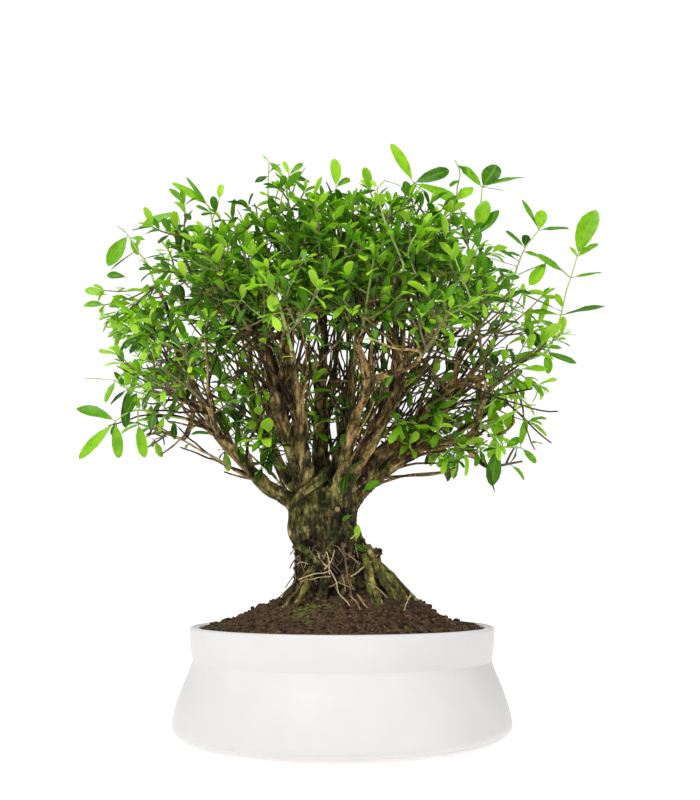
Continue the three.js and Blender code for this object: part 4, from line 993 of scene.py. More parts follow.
class Nodes:
    """Short ways to add and join the nodes of a tree."""

    def __init__(self, tree):
        self.tree = tree

    def join(self, value, socket):
        """Feeds a socket from another one, or sets it."""
        if isinstance(value, bpy.types.NodeSocket):
            self.tree.links.new(value, socket)
        elif isinstance(value, tuple) and len(value) == 3 and socket.type == "RGBA":
            socket.default_value = (*value, 1)
        else:
            socket.default_value = value

    def add(self, kind, inputs=None, **settings):
        node = self.tree.nodes.new("ShaderNode" + kind)
        for key, value in settings.items():
            setattr(node, key, value)
        for key, value in (inputs or {}).items():
            self.join(value, node.inputs[key])
        return node

    def mark(self, name):
        return self.add("Attribute", attribute_name=name).outputs["Fac"]

    def place(self, scale=(1, 1, 1)):
        """The place on the object in millimetres, stretched."""
        coordinates = self.add("TexCoord").outputs["Object"]
        factors = tuple(s / MM for s in scale)
        return self.add("VectorMath", {0: coordinates, 1: factors}, operation="MULTIPLY").outputs[0]

    def noise(self, vector, scale, detail=3.0, roughness=0.55):
        inputs = {"Vector": vector, "Scale": scale, "Detail": detail, "Roughness": roughness}
        return self.add("TexNoise", inputs).outputs["Fac"]

    def cells(self, vector, scale):
        return self.add("TexVoronoi", {"Vector": vector, "Scale": scale}).outputs["Distance"]

    def math(self, operation, a, b=0.0, clamped=False):
        return self.add("Math", {0: a, 1: b}, operation=operation, use_clamp=clamped).outputs[0]

    def spread(self, value, low, high, to_low=0.0, to_high=1.0):
        inputs = {"Value": value, "From Min": low, "From Max": high, "To Min": to_low, "To Max": to_high}
        return self.add("MapRange", inputs).outputs["Result"]

    def ramp(self, value, *stops):
        node = self.add("ValToRGB", {"Fac": value})
        elements = node.color_ramp.elements
        while len(elements) < len(stops):
            elements.new(0.5)
        for element, (place, colour) in zip(elements, stops):
            element.position = place
            element.color = (*colour, 1)
        return node.outputs["Color"]

    def blend(self, share, a, b, blend_type="MIX"):
        """A colour between two, or one times the other. A colour mix has its sockets at these places."""
        node = self.add("Mix", data_type="RGBA", blend_type=blend_type)
        for place, value in ((0, share), (6, a), (7, b)):
            self.join(value, node.inputs[place])
        return node.outputs[2]

    def bump(self, height, distance, strength=1.0, normal=None):
        inputs = {"Height": height, "Distance": distance * MM, "Strength": strength}
        if normal is not None:
            inputs["Normal"] = normal
        return self.add("Bump", inputs).outputs["Normal"]


class Finish(Nodes):
    """The nodes of a material with one main shader."""

    def __init__(self, name):
        self.material = bpy.data.materials.new(name)
        self.material.use_nodes = True
        super().__init__(self.material.node_tree)
        self.shader = self.tree.nodes["Principled BSDF"]

    def dress(self, colour, roughness, normal=None, gloss=None):
        """Sets the shader's colour, roughness, bumps and share of gloss."""
        keys = ("Base Color", "Roughness", "Normal", "Specular IOR Level")
        for key, value in zip(keys, (colour, roughness, normal, gloss)):
            if value is not None:
                self.join(value, self.shader.inputs[key])


def leaf_material():
    """Glossy green blades, paler below, with a pale midrib and side veins. Light shines through them."""
    nodes = Finish("leaf")
    tone = nodes.mark("tone")
    across = nodes.mark("across")
    along = nodes.mark("along")
    under = nodes.mark("under")
    place = nodes.place()
    patches = nodes.noise(place, 0.25, 4)
    tone_here = nodes.math("ADD", tone, nodes.spread(patches, 0.3, 0.7, -0.08, 0.08))
    # The darkest tones stand in part for painted shade deep in the crown
    colour = nodes.ramp(
        tone_here,
        (0.0, (0.005, 0.035, 0.001)),
        (0.3, (0.02, 0.1, 0.001)),
        (0.55, (0.1, 0.32, 0.003)),
        (0.85, (0.34, 0.63, 0.014)),
        (1.0, (0.45, 0.68, 0.05)),
    )
    from_middle = nodes.math("ABSOLUTE", across)
    rib = nodes.spread(from_middle, 0.03, 0.12, 1, 0)
    rows = nodes.math("MULTIPLY", along, 44)
    slanted = nodes.math("SUBTRACT", rows, nodes.math("MULTIPLY", from_middle, 9))
    vein = nodes.spread(nodes.math("SINE", slanted), 0.82, 1.0, 0, 1)
    veins = nodes.math("MAXIMUM", rib, nodes.math("MULTIPLY", vein, 0.35))
    colour = nodes.blend(nodes.math("MULTIPLY", veins, 0.4), colour, (0.38, 0.56, 0.07))
    edge = nodes.spread(from_middle, 0.86, 1.0, 0, 0.35)
    colour = nodes.blend(edge, colour, (0.36, 0.5, 0.04))
    colour = nodes.blend(nodes.math("MULTIPLY", under, 0.3), colour, (0.22, 0.42, 0.07))
    relief = nodes.math("SUBTRACT", nodes.noise(place, 1.6, 3), nodes.math("MULTIPLY", veins, 0.8))
    normal = nodes.bump(relief, 0.06, 0.5)
    nodes.dress(colour, 0.42, normal, 0.22)
    glow = nodes.blend(0.5, colour, nodes.blend(1.0, colour, (1.9, 1.7, 0.35), "MULTIPLY"))
    through = nodes.add("BsdfTranslucent", {"Color": glow, "Normal": normal})
    mixed = nodes.add("MixShader", {0: 0.45, 1: nodes.shader.outputs[0], 2: through.outputs[0]})
    nodes.join(mixed.outputs[0], nodes.tree.nodes["Material Output"].inputs["Surface"])
    return nodes.material


def stem_material():
    """Young stems: pale green where the tone is high, brown where it is low."""
    nodes = Finish("young_stem")
    place = nodes.place()
    speckle = nodes.noise(place, 0.9, 4)
    tone = nodes.math("ADD", nodes.mark("tone"), nodes.spread(speckle, 0.3, 0.7, -0.15, 0.15))
    colour = nodes.ramp(
        tone,
        (0.0, (0.06, 0.035, 0.018)),
        (0.35, (0.12, 0.085, 0.03)),
        (0.6, (0.16, 0.22, 0.04)),
        (1.0, (0.34, 0.5, 0.12)),
    )
    nodes.dress(colour, 0.6, nodes.bump(speckle, 0.15, 0.6))
    return nodes.material


def bark_material():
    """Old bark. The marks say how deep a point lies, how mossy it is and how young the wood is."""
    nodes = Finish("bark")
    relief = nodes.mark("relief")
    moss = nodes.mark("moss")
    young = nodes.mark("young")
    crumb = nodes.mark("crumb")
    place = nodes.place()
    grain = nodes.noise(nodes.place((1, 1, 0.4)), 0.55, 5, 0.7)
    blotches = nodes.noise(place, 0.12, 4)
    # Where the relief is low the colour is dark: the bark's own furrows, and on the trunk painted shade in
    # its hollows
    shade = nodes.math("ADD", nodes.spread(relief, -1, 1), nodes.spread(grain, 0.3, 0.7, -0.3, 0.3))
    shade = nodes.math("ADD", shade, nodes.spread(blotches, 0.36, 0.6, -0.24, 0.1))
    old = nodes.ramp(
        shade,
        (0.24, (0.002, 0.0015, 0.0005)),
        (0.5, (0.03, 0.023, 0.007)),
        (0.7, (0.1, 0.083, 0.026)),
        (0.97, (0.34, 0.3, 0.12)),
    )
    brown = nodes.ramp(
        shade,
        (0.15, (0.01, 0.005, 0.002)),
        (0.45, (0.095, 0.053, 0.02)),
        (0.66, (0.3, 0.185, 0.072)),
        (0.95, (0.54, 0.38, 0.17)),
    )
    colour = nodes.blend(young, old, brown)
    lichen = nodes.spread(blotches, 0.52, 0.66, 0, 0.55)
    colour = nodes.blend(lichen, colour, nodes.blend(1.0, colour, (1.05, 1.15, 0.75), "MULTIPLY"))
    soil = nodes.ramp(
        shade,
        (0.36, (0.001, 0.0008, 0.0004)),
        (0.68, (0.026, 0.016, 0.006)),
        (1.0, (0.14, 0.095, 0.036)),
    )
    colour = nodes.blend(crumb, colour, soil)
    green = nodes.ramp(grain, (0.35, (0.012, 0.022, 0.002)), (0.7, (0.17, 0.21, 0.022)))
    speckled = nodes.math("MULTIPLY", moss, nodes.spread(nodes.noise(place, 0.5, 4), 0.38, 0.58), True)
    colour = nodes.blend(speckled, colour, green)
    coarse = nodes.bump(grain, 0.5, 0.8)
    nodes.dress(colour, 0.88, nodes.bump(nodes.noise(place, 3.2, 4), 0.22, 0.7, coarse), 0.25)
    return nodes.material


def straw_material():
    """Dry rootlets and straws, from straw-pale to reddish brown by their tone."""
    nodes = Finish("straw")
    streaks = nodes.noise(nodes.place((1, 1, 0.4)), 1.2, 4)
    tone = nodes.math("ADD", nodes.mark("tone"), nodes.spread(streaks, 0.3, 0.7, -0.15, 0.15))
    colour = nodes.ramp(
        tone,
        (0.0, (0.09, 0.035, 0.018)),
        (0.5, (0.26, 0.18, 0.08)),
        (1.0, (0.55, 0.47, 0.27)),
    )
    nodes.dress(colour, 0.8, nodes.bump(streaks, 0.2, 0.6))
    return nodes.material


def soil_material():
    """Dark, crumbly potting soil with paler and redder fibres in it."""
    nodes = Finish("soil")
    tone = nodes.mark("tone")
    place = nodes.place()
    grit = nodes.noise(place, 0.8, 5, 0.7)
    shade = nodes.math("ADD", tone, nodes.spread(grit, 0.3, 0.7, -0.3, 0.3))
    colour = nodes.ramp(
        shade,
        (0.0, (0.012, 0.007, 0.004)),
        (0.45, (0.05, 0.028, 0.015)),
        (0.75, (0.11, 0.062, 0.03)),
        (1.0, (0.24, 0.15, 0.08)),
    )
    fibres = nodes.spread(nodes.noise(nodes.place((0.3, 1.4, 1)), 1.3, 3), 0.62, 0.7, 0, 0.5)
    colour = nodes.blend(fibres, colour, (0.2, 0.11, 0.05))
    moss = nodes.math("MULTIPLY", nodes.mark("moss"), nodes.spread(grit, 0.35, 0.6), True)
    colour = nodes.blend(moss, colour, (0.1, 0.17, 0.02))
    nodes.dress(colour, 0.95, nodes.bump(grit, 0.5, 0.9), 0.2)
    return nodes.material


def glaze_material():
    """Matt white glaze, faintly uneven and pitted, worn to pinkish clay along the foot."""
    nodes = Finish("glaze")
    place = nodes.place()
    clouds = nodes.noise(place, 0.03, 3)
    colour = nodes.ramp(clouds, (0.3, (0.505, 0.497, 0.493)), (0.7, (0.53, 0.523, 0.519)))
    specks = nodes.spread(nodes.cells(place, 0.16), 0.0, 0.05, 0.12, 0)
    colour = nodes.blend(specks, colour, (0.62, 0.58, 0.54))
    patches = nodes.spread(nodes.noise(place, 0.25, 4), 0.4, 0.55)
    wear = nodes.math("MULTIPLY", nodes.mark("foot"), patches, True)
    colour = nodes.blend(wear, colour, (0.62, 0.5, 0.44))
    roughness = nodes.spread(nodes.noise(place, 0.4, 3), 0.3, 0.7, 0.4, 0.52)
    ripple = nodes.bump(nodes.noise(place, 0.06, 2), 0.9, 0.35)
    nodes.dress(colour, roughness, nodes.bump(nodes.noise(place, 1.1, 4), 0.06, 0.4, ripple), 0.4)
    return nodes.material


def net_material():
    """Black plastic net."""
    nodes = Finish("net")
    grain = nodes.noise(nodes.place(), 1.0, 4)
    colour = nodes.ramp(grain, (0.3, (0.012, 0.012, 0.012)), (0.7, (0.03, 0.03, 0.028)))
    nodes.dress(colour, 0.55, nodes.bump(grain, 0.1, 0.5))
    return nodes.material


def floor_material():
    """A pale, matt floor that glows a little, so that it is as light as the world behind it."""
    nodes = Finish("floor")
    cloud = nodes.noise(nodes.place(), 0.004, 2)
    nodes.dress(nodes.ramp(cloud, (0.3, (0.9, 0.9, 0.9)), (0.7, (0.92, 0.92, 0.92))), 0.9, gloss=0.0)
    nodes.join((1, 1, 1), nodes.shader.inputs["Emission Color"])
    nodes.join(FLOOR_GLOW, nodes.shader.inputs["Emission Strength"])
    return nodes.material


leaf_finish = leaf_material()
stem_finish = stem_material()
bark_finish = bark_material()
straw_finish = straw_material()
soil_finish = soil_material()
glaze_finish = glaze_material()
net_finish = net_material()


# Camera, light and floor


def add_camera():
    camera = bpy.data.cameras.new("camera")
    camera.lens = CAMERA_LENS
    camera.sensor_width = CAMERA_SENSOR
    camera.clip_start = 0.01
    holder = bpy.data.objects.new("camera", camera)
    holder.location = Vector(CAMERA_PLACE) * MM
    holder.rotation_euler = (math.radians(90 + CAMERA_PITCH), 0, 0)
    bpy.context.scene.collection.objects.link(holder)
    bpy.context.scene.camera = holder


def add_lamp(name, place, target, size, power):
    light = bpy.data.lights.new(name, "AREA")
    light.shape = "DISK"
    light.size = size
    light.energy = power
    holder = bpy.data.objects.new(name, light)
    holder.location = Vector(place)
    holder.rotation_euler = (Vector(target) - Vector(place)).to_track_quat("-Z", "Y").to_euler()
    bpy.context.scene.collection.objects.link(holder)


def add_stage():
    world = bpy.data.worlds.new("studio")
    world.use_nodes = True
    nodes = Nodes(world.node_tree)
    to_camera = nodes.add("LightPath").outputs["Is Camera Ray"]
    background = world.node_tree.nodes["Background"]
    nodes.join(nodes.spread(to_camera, 0, 1, WORLD_LIGHT, WORLD_SEEN), background.inputs["Strength"])
    nodes.join((1, 1, 1), background.inputs["Color"])
    bpy.context.scene.world = world
    bpy.context.scene.view_settings.view_transform = "Standard"
    for name, lamp in LAMPS.items():
        add_lamp(name, lamp["place"], lamp["target"], lamp["size"], lamp["power"])
    mesh = bpy.data.meshes.new("floor")
    a = FLOOR_HALF_SIDE
    mesh.from_pydata([(-a, -a, 0), (a, -a, 0), (a, a, 0), (-a, a, 0)], [], [(0, 1, 2, 3)])
    mesh.materials.append(floor_material())
    floor = bpy.data.objects.new("floor", mesh)
    bpy.context.scene.collection.objects.link(floor)


# Pot


def arc(x, y, radius, first, last, steps):
    """Points on an arc, with its angles in quarter turns."""
    angles = [mix(first, last, i / steps) * math.pi / 2 for i in range(steps + 1)]
    return [(x + radius * math.cos(a), y + radius * math.sin(a)) for a in angles]


def lathe(profile, sides):
    """Points and faces of a closed profile of radii and heights, turned round the axis."""
    profile = np.array(profile)
    angles = np.arange(sides) / sides * 2 * math.pi
    rings = [np.stack([r * np.cos(angles), r * np.sin(angles), np.full(sides, z)], -1) for r, z in profile]
    count = len(profile)
    ring = np.arange(sides)
    after = (ring + 1) % sides
    faces = []
    for i in range(count):
        j = (i + 1) % count
        low, high = i * sides, j * sides
        faces.append(np.stack([low + ring, low + after, high + after, high + ring], -1))
    return np.concatenate(rings), np.concatenate(faces)


def add_pot():
    lip_height = POT_HEIGHT - RIM_DROP - RIM_ROUNDING
    flare = Smooth([
        (BELLY_RADIUS - 0.3, 0, BELLY_HEIGHT + 0.5), (BELLY_RADIUS - 4.4, 0, BELLY_HEIGHT + 13),
        (WAIST_RADIUS + 1.9, 0, WAIST_HEIGHT - 8), (WAIST_RADIUS, 0, WAIST_HEIGHT - 2.2),
        (WAIST_RADIUS, 0, WAIST_HEIGHT - 0.6), (RIM_RADIUS - 0.9, 0, WAIST_HEIGHT + WAIST_BAND),
        (RIM_RADIUS - 0.2, 0, lip_height - 4), (RIM_RADIUS, 0, lip_height),
    ])
    outside = [
        (FOOT_RADIUS - 2.6, 0.25), (FOOT_RADIUS - 2, 1.6),
        *arc(BELLY_RADIUS - BELLY_ROUNDING, BELLY_LOW, BELLY_ROUNDING, -1.5, 0.18, 20),
        *[(p[0], p[2]) for p in flare.line(44, 0.04, 0.99)],
        *arc(RIM_RADIUS - RIM_ROUNDING, lip_height, RIM_ROUNDING, 0.05, 1.57, 10),
        *arc(RIM_RADIUS - RIM_WALL + RIM_ROUNDING, lip_height, RIM_ROUNDING, 1.6, 3.1, 10),
    ]
    inside = [
        (WAIST_RADIUS - POT_WALL, WAIST_HEIGHT), (INNER_BELLY_RADIUS, INNER_BELLY_HEIGHT),
        (FLOOR_RADIUS, FLOOR_TOP), (DRAIN_RADIUS, FLOOR_TOP), (DRAIN_RADIUS, FOOT_RECESS),
        (FOOT_RING_INNER_RADIUS - 1, FOOT_RECESS), (FOOT_RING_INNER_RADIUS, 0),
        (FOOT_RING_INNER_RADIUS + 3, 0), (FOOT_RADIUS - 3, 0),
    ]
    points, faces = lathe(outside + inside, POT_SIDES)
    outward = points * (1, 1, 0) / np.linalg.norm(points[:, :2], axis=1, keepdims=True)
    uneven = fractal(points, GLAZE_WAVE["size"], 2, 3) * GLAZE_WAVE["height"]
    uneven = uneven + fractal(points, GLAZE_RIPPLE["size"], 2, 5) * GLAZE_RIPPLE["height"]
    is_outside = np.linalg.norm(points[:, :2], axis=1) > WAIST_RADIUS - 2
    points = points + outward * (uneven * (fade(points[:, 2], 1, 9) * is_outside))[:, None]
    form = Form("foot")
    form.add(points, faces, foot=fade(points[:, 2], CLAY_LINE, CLAY_LINE - 0.5))
    add_piece("glazed_pot", form, [glaze_finish], ["pot"], sharp=50)


def dress_drain_mesh():
    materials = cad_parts["drain_mesh"].data.materials
    materials.clear()
    materials.append(net_finish)


# Soil


def ground(x, y):
    """The soil's height at a place, with its larger unevenness."""
    radius = math.hypot(x, y)
    slope = clamp(SOIL_RADIUS - radius, 0, SOIL_RADIUS - SOIL_FOOT_RADIUS)
    left = float(np.interp(radius, RING_RADII, LEFT_HEIGHTS))
    right = float(np.interp(radius, RING_RADII, RIGHT_HEIGHTS))
    heap = mix(left, right, clamp((x + HEAP_HALF_WIDTH) / (2 * HEAP_HALF_WIDTH)))
    front = clamp((-y - HEAP_FRONT) / HEAP_BLEND)
    size = SOIL_WAVE["size"]
    wave = SOIL_WAVE["height"] * noise.fractal(Vector((x / size, y / size, 4.2)), 1.0, 2.0, 3)
    low = wave * clamp((SOIL_RADIUS - radius) / SOIL_WAVE["blend"], SOIL_WAVE["least"], 1)
    return mix(heap, SOIL_RIM_HEIGHT + SOIL_SLOPE * slope, front) + low


def spot(points, region):
    """How much each point lies in a round region, from 0 to 1."""
    across = (points[:, 0] - region["x"]) / region["wide"]
    along = (points[:, 1] - region["y"]) / region["deep"]
    return np.exp(-across ** 2 - along ** 2)


def add_soil():
    """The soil's skin. A narrow shaft on the axis joins the inner rings of its top and of its bottom."""
    radii = SOIL_RADIUS * (np.arange(SOIL_RINGS) + 0.35) / (SOIL_RINGS - 0.65)
    top = [(r, 0.0) for r in radii]
    shaft_height = FLOOR_TOP + 2.4
    lower = [
        (SOIL_RADIUS, WAIST_HEIGHT), (INNER_BELLY_RADIUS - 2 * GAP, INNER_BELLY_HEIGHT),
        (FLOOR_RADIUS - 2 * GAP, FLOOR_TOP + GAP), (SHAFT_RADIUS + 2, FLOOR_TOP + GAP),
        (SHAFT_RADIUS, shaft_height), (radii[0], shaft_height),
    ]
    points, faces = lathe((top + lower)[::-1], SOIL_SIDES)
    is_top = np.zeros(len(points), bool)
    is_top[len(lower) * SOIL_SIDES:] = True
    grounds = np.array([ground(x, y) for x, y, _ in points[is_top]])
    flat = points[is_top] * (1, 1, 0)
    lumps = fractal(flat, SOIL_LUMP["size"], 3, 2)
    grit = fractal(flat, SOIL_GRIT["size"], 2, 7)
    points[is_top, 2] = grounds + lumps * SOIL_LUMP["height"] + grit * SOIL_GRIT["height"]
    tone = np.full(len(points), 0.4)
    # Tone from the lumps and grit, darker by the trunk's right flank as painted shade
    tone[is_top] = 0.42 + lumps * 0.28 + grit * 0.12 - SHADED_FLANK["darker"] * spot(flat, SHADED_FLANK)
    moss = np.zeros(len(points))
    moss[is_top] = np.clip(fractal(flat, 16, 2, 9) * 1.6 - 0.6, 0, 0.35)
    moss[is_top] = np.clip(moss[is_top] + spot(flat, MOSSY_PATCH) * (0.9 + lumps), 0, 0.9)
    form = Form(*SOIL_MARKS)
    form.add(points, faces, tone=tone, moss=moss)
    add_piece("potting_soil", form, [soil_finish], ["soil"], sharp=70)


def lump_template():
    """A small rough ball: the corners and faces of an icosahedron."""
    g = (1 + math.sqrt(5)) / 2
    corners = [
        (-1, g, 0), (1, g, 0), (-1, -g, 0), (1, -g, 0), (0, -1, g), (0, 1, g), (0, -1, -g), (0, 1, -g),
        (g, 0, -1), (g, 0, 1), (-g, 0, -1), (-g, 0, 1),
    ]
    faces = [
        (0, 11, 5), (0, 5, 1), (0, 1, 7), (0, 7, 10), (0, 10, 11), (1, 5, 9), (5, 11, 4), (11, 10, 2),
        (10, 7, 6), (7, 1, 8), (3, 9, 4), (3, 4, 2), (3, 2, 6), (3, 6, 8), (3, 8, 9), (4, 9, 5), (2, 4, 11),
        (6, 2, 10), (8, 6, 7), (9, 8, 1),
    ]
    return unit(np.array(corners, float)), np.array(faces)


LUMP_POINTS, LUMP_FACES = lump_template()


def add_lump(form, place, size, rng, **marks):
    stretch = np.array([rng.uniform(0.6, 1.4) for _ in range(3)])
    rough = np.array([rng.uniform(0.75, 1.2) for _ in range(len(LUMP_POINTS))])[:, None]
    form.add(np.array(place) + LUMP_POINTS * rough * stretch * size, LUMP_FACES, **marks)


def place_in_ring(reach, inner, rng):
    """A place on the soil, as likely in any part of it, that keeps off the middle."""
    radius = reach * math.sqrt(rng.uniform(inner, 1))
    angle = rng.uniform(0, 2 * math.pi)
    return radius * math.cos(angle), radius * math.sin(angle)


def add_crumbs():
    """Loose crumbs and thin fibres that lie on the soil."""
    rng = random.Random(11)
    form = Form(*SOIL_MARKS)
    for _ in range(CRUMBS):
        x, y = place_in_ring(CRUMB_REACH, 0.08, rng)
        size = rng.uniform(*(SMALL_CRUMB_SIZES if rng.random() < SMALL_CRUMBS else LARGE_CRUMB_SIZES))
        tone = rng.uniform(0.15, 0.85) ** 1.3
        add_lump(form, (x, y, ground(x, y) + size * 0.25), size, rng, tone=tone)
    for _ in range(FIBRES):
        x, y = place_in_ring(FIBRE_REACH, 0.1, rng)
        heading = rng.uniform(0, math.pi)
        length = rng.uniform(*FIBRE_LENGTHS)
        dx, dy = math.cos(heading) * length / 2, math.sin(heading) * length / 2
        ends = [(x - dx, y - dy), (x, y), (x + dx, y + dy)]
        line = [(a, b, ground(a, b) + rng.uniform(0.2, 0.9)) for a, b in ends]
        add_tube(form, np.array(line), FIBRE_RADIUS, 3, tone=rng.uniform(0.6, 1))
    add_piece("soil_crumbs", form, [soil_finish])


# Trunk


def trunk_at(z):
    """The trunk's middle and half widths at a height."""
    rows = TRUNK_ROWS
    above = next((i for i, row in enumerate(rows) if row["z"] >= z), len(rows) - 1)
    above = max(1, above)
    low, high = rows[above - 1], rows[above]
    share = clamp((z - low["z"]) / (high["z"] - low["z"]))
    return {key: mix(low[key], high[key], share) for key in ("x", "wide", "deep")}


def stem_line(index):
    """A stem of the trunk: the points of its middle and its radii."""
    draw = draws_from(STEM_SEED + index)
    start = (index + mix(-0.2, 0.2, draw())) / STEMS * math.pi * 2
    radius = STEM_RADIUS * mix(0.82, 1.15, draw())
    sway = mix(-0.25, 0.25, draw())
    bottom, top = TRUNK_ROWS[0]["z"], TRUNK_ROWS[-1]["z"]
    centres = []
    radii = []
    for i in range(STEM_STEPS + 1):
        share = i / STEM_STEPS
        z = mix(bottom, top, share)
        row = trunk_at(z)
        here = radius * mix(1.25, 0.95, share)
        turn = start + STEM_TWIST * share + sway * math.sin(share * math.pi * 2)
        wide = max(row["wide"] - here, 1)
        deep = max(row["deep"] - here, 1)
        centres.append((row["x"] + math.cos(turn) * wide, math.sin(turn) * deep, z))
        radii.append(here * (1 if share < 0.85 else mix(1, 0.7, (share - 0.85) / 0.15)))
    return np.array(centres), np.array(radii)


def limb_radius(radius, t):
    """A limb's radius at a share of its length, from its radius at the start."""
    return mix(LIMB_END_RADIUS, radius, (1 - t) ** TAPER)


def root_tube(root):
    """The middle line and the radii of a root."""
    points, first, last = root
    line = Smooth(points).line(ROOT_STEPS)
    line = line - np.outer(fade(line[:, 0], FLANK_START, FLANK_START + FLANK_BLEND), ROOT_SHIFT)
    shares = np.linspace(0, 1, len(line))
    wobble = 1 + 0.12 * np.sin(np.linspace(0, 9, len(line)) + points[0][0])
    return line, mix(last, first, (1 - shares) ** TAPER) * wobble


def trunk_form():
    """The closed tubes that the trunk is fused from."""
    form = Form()
    for index in range(STEMS):
        centres, radii = stem_line(index)
        add_tube(form, centres, radii, 16)
    heights = np.linspace(*CORE_HEIGHTS, 14)
    core = [(trunk_at(z)["x"], 0, z) for z in heights]
    core_radii = [CORE_SHARE * min(trunk_at(z)["wide"], trunk_at(z)["deep"]) for z in heights]
    add_tube(form, np.array(core), np.array(core_radii), 24)
    for root in ROOTS:
        line, radii = root_tube(root)
        add_tube(form, line, radii * ROOT_SHARE, 12)
    points, first, last = KNOB
    add_tube(form, Smooth(points).line(16), mix(first, last, np.linspace(0, 1, 17)), 12)
    for (radius, _), curve in zip(LIMBS, limb_curves):
        share = min(1, LIMB_FOOT_LENGTH / curve.length())
        line = curve.line(16, 0, share)
        radii = np.array([limb_radius(radius, t) for t in np.linspace(0, share, 17)])
        add_tube(form, line, radii, 12)
    return form


def remeshed(mesh, voxel):
    """A mesh whose overlapping tubes are fused into one skin."""
    scratch = bpy.data.objects.new("scratch", mesh)
    bpy.context.scene.collection.objects.link(scratch)
    modifier = scratch.modifiers.new("fuse", "REMESH")
    modifier.mode = "VOXEL"
    modifier.voxel_size = voxel * MM
    modifier.adaptivity = 0
    graph = bpy.context.evaluated_depsgraph_get()
    fused = bpy.data.meshes.new_from_object(scratch.evaluated_get(graph))
    bpy.data.objects.remove(scratch)
    return fused


def mesh_arrays(mesh):
    """A mesh's points in millimetres, and its normals."""
    points = np.empty(len(mesh.vertices) * 3)
    mesh.vertices.foreach_get("co", points)
    normals = np.empty(len(mesh.vertices) * 3)
    mesh.vertices.foreach_get("normal", normals)
    return points.reshape(-1, 3) / MM, normals.reshape(-1, 3)


def smoothed(mesh, points, rounds):
    """Points of a mesh drawn halfway to the middle of their neighbours, some rounds long."""
    edges = np.empty(len(mesh.edges) * 2, np.int64)
    mesh.edges.foreach_get("vertices", edges)
    edges = edges.reshape(-1, 2)
    count = np.bincount(edges.ravel(), minlength=len(points))[:, None]
    for _ in range(rounds):
        total = np.zeros_like(points)
        np.add.at(total, edges[:, 0], points[edges[:, 1]])
        np.add.at(total, edges[:, 1], points[edges[:, 0]])
        points = points + (total / count - points) * 0.5
    return points


def set_points(mesh, points):
    mesh.vertices.foreach_set("co", (points * MM).ravel())
    mesh.update()


def set_mark(mesh, name, values):
    mesh.attributes.new(name, "FLOAT", "POINT").data.foreach_set("value", values)


def add_trunk():
    """The trunk's skin: ridged bark above, crumbly and rough below, in front and on the left."""
    mesh = remeshed(trunk_form().mesh("trunk"), SKIN_VOXEL)
    set_points(mesh, smoothed(mesh, mesh_arrays(mesh)[0], 2))
    points, normals = mesh_arrays(mesh)
    x, y, z = points.T
    # How deep each point lies in a hollow. It darkens the bark's colour there: painted shade in the creases
    # between stems and roots
    hollow_shade = np.sum((smoothed(mesh, points, 26) - points) * normals, axis=1)
    ridges = 1 - 2 * np.abs(fractal(points * (1, 1, 0.28), 3.2, 3, 1))
    lumps = fractal(points, 7, 3, 2)
    pits = fractal(points, 2.2, 3, 4)
    low = fade(z, *BARK_LOW)
    middle = np.exp(-((x - BARK_FRONT["x"]) / BARK_FRONT["half_width"]) ** 2)
    front = middle * np.clip(-1.6 * normals[:, 1], 0, 1) * fade(z, *BARK_FRONT["heights"])
    slant = (BARK_LEFT["slant_from"] - z) * BARK_LEFT["slant"]
    left = fade(-x + slant, *BARK_LEFT["aside"]) * fade(z, *BARK_LEFT["heights"])
    foot = fade(z - 5 * lumps, *BARK_FOOT)
    crumb = np.clip(front + left + foot + 0.35 * lumps * low, 0, 1)
    push = ridges * mix(0.75, 0.35, crumb) + lumps * mix(0.6, 1.5, low) + pits * mix(0.5, 1.4, crumb) - 0.7
    points = points + normals * push[:, None]
    set_points(mesh, points)
    right = fade(x, *BARK_RIGHT["aside"]) * fade(z, *BARK_RIGHT["heights"])
    streaks = fractal(points * (1, 1, 0.2), 5, 3, 6)
    # The relief mark: the bark's own ridges and pits, and painted shade that is darker where a point lies in
    # a hollow
    set_mark(mesh, "relief", np.clip(ridges * 0.55 + pits * 0.6 + lumps * 0.3 - 0.12 - hollow_shade * 0.5, -1, 1))
    set_mark(mesh, "moss", np.clip(0.2 + streaks * 1.2 + 0.2 * right, 0, 0.9) * (1 - 0.6 * crumb))
    set_mark(mesh, "young", np.zeros(len(points)))
    set_mark(mesh, "crumb", crumb)
    mesh.materials.clear()
    add_piece("fused_trunk", mesh, [bark_finish], ["trunk_roots_and_limbs"])


def jitter(points, size, seed, reach):
    """A smooth wander, the same for points that are near each other."""
    return np.stack([fractal(points, size, 2, seed + k * 0.37 + 0.1) for k in range(3)], -1) * reach


def wandering(curve, steps, size, seed, reach):
    """Points along a curve that wander off it between its ends, and each one's share of the way."""
    shares = np.linspace(0, 1, steps + 1)
    line = curve.line(steps)
    return line + jitter(line, size, seed, reach * np.sin(shares * math.pi)[:, None]), shares


# Limbs and branches


def add_wood_tube(form, centres, radii, sides, seed, knobbly, young, moss=0.0):
    """A tube of bark whose skin is uneven along its grain."""
    count = len(centres)
    points = tube_points(centres, radii, sides)
    middles = np.concatenate([np.repeat(centres, sides, axis=0), centres[[0, -1]]])
    outward = unit(points - middles)
    size = np.concatenate([np.repeat(np.broadcast_to(radii, (count,)), sides), [radii[0], radii[-1]]])
    run = np.concatenate([[0], np.cumsum(np.linalg.norm(np.diff(centres, axis=0), axis=1))])
    runs = np.concatenate([np.repeat(run, sides), run[[0, -1]]])
    grain = outward * size[:, None] + runs[:, None] * 0.12 * np.array((1.0, 0.6, 0.8))
    ridges = fractal(grain, 1.6, 2, seed)
    swell = fractal(points, 9, 2, seed + 3)
    points = points + outward * (size * (ridges * 0.16 + swell * knobbly))[:, None]
    patches = np.clip(moss + fractal(points, 12, 2, seed + 6) * 0.7, 0, 1) * (moss > 0)
    relief = np.clip(ridges * 1.2 + 0.1, -1, 1)
    young = np.broadcast_to(young, (count,))
    young = np.concatenate([np.repeat(young, sides), [young[0], young[-1]]])
    form.add(points, tube_faces(count, sides), relief=relief, young=young, moss=patches, crumb=0.0)


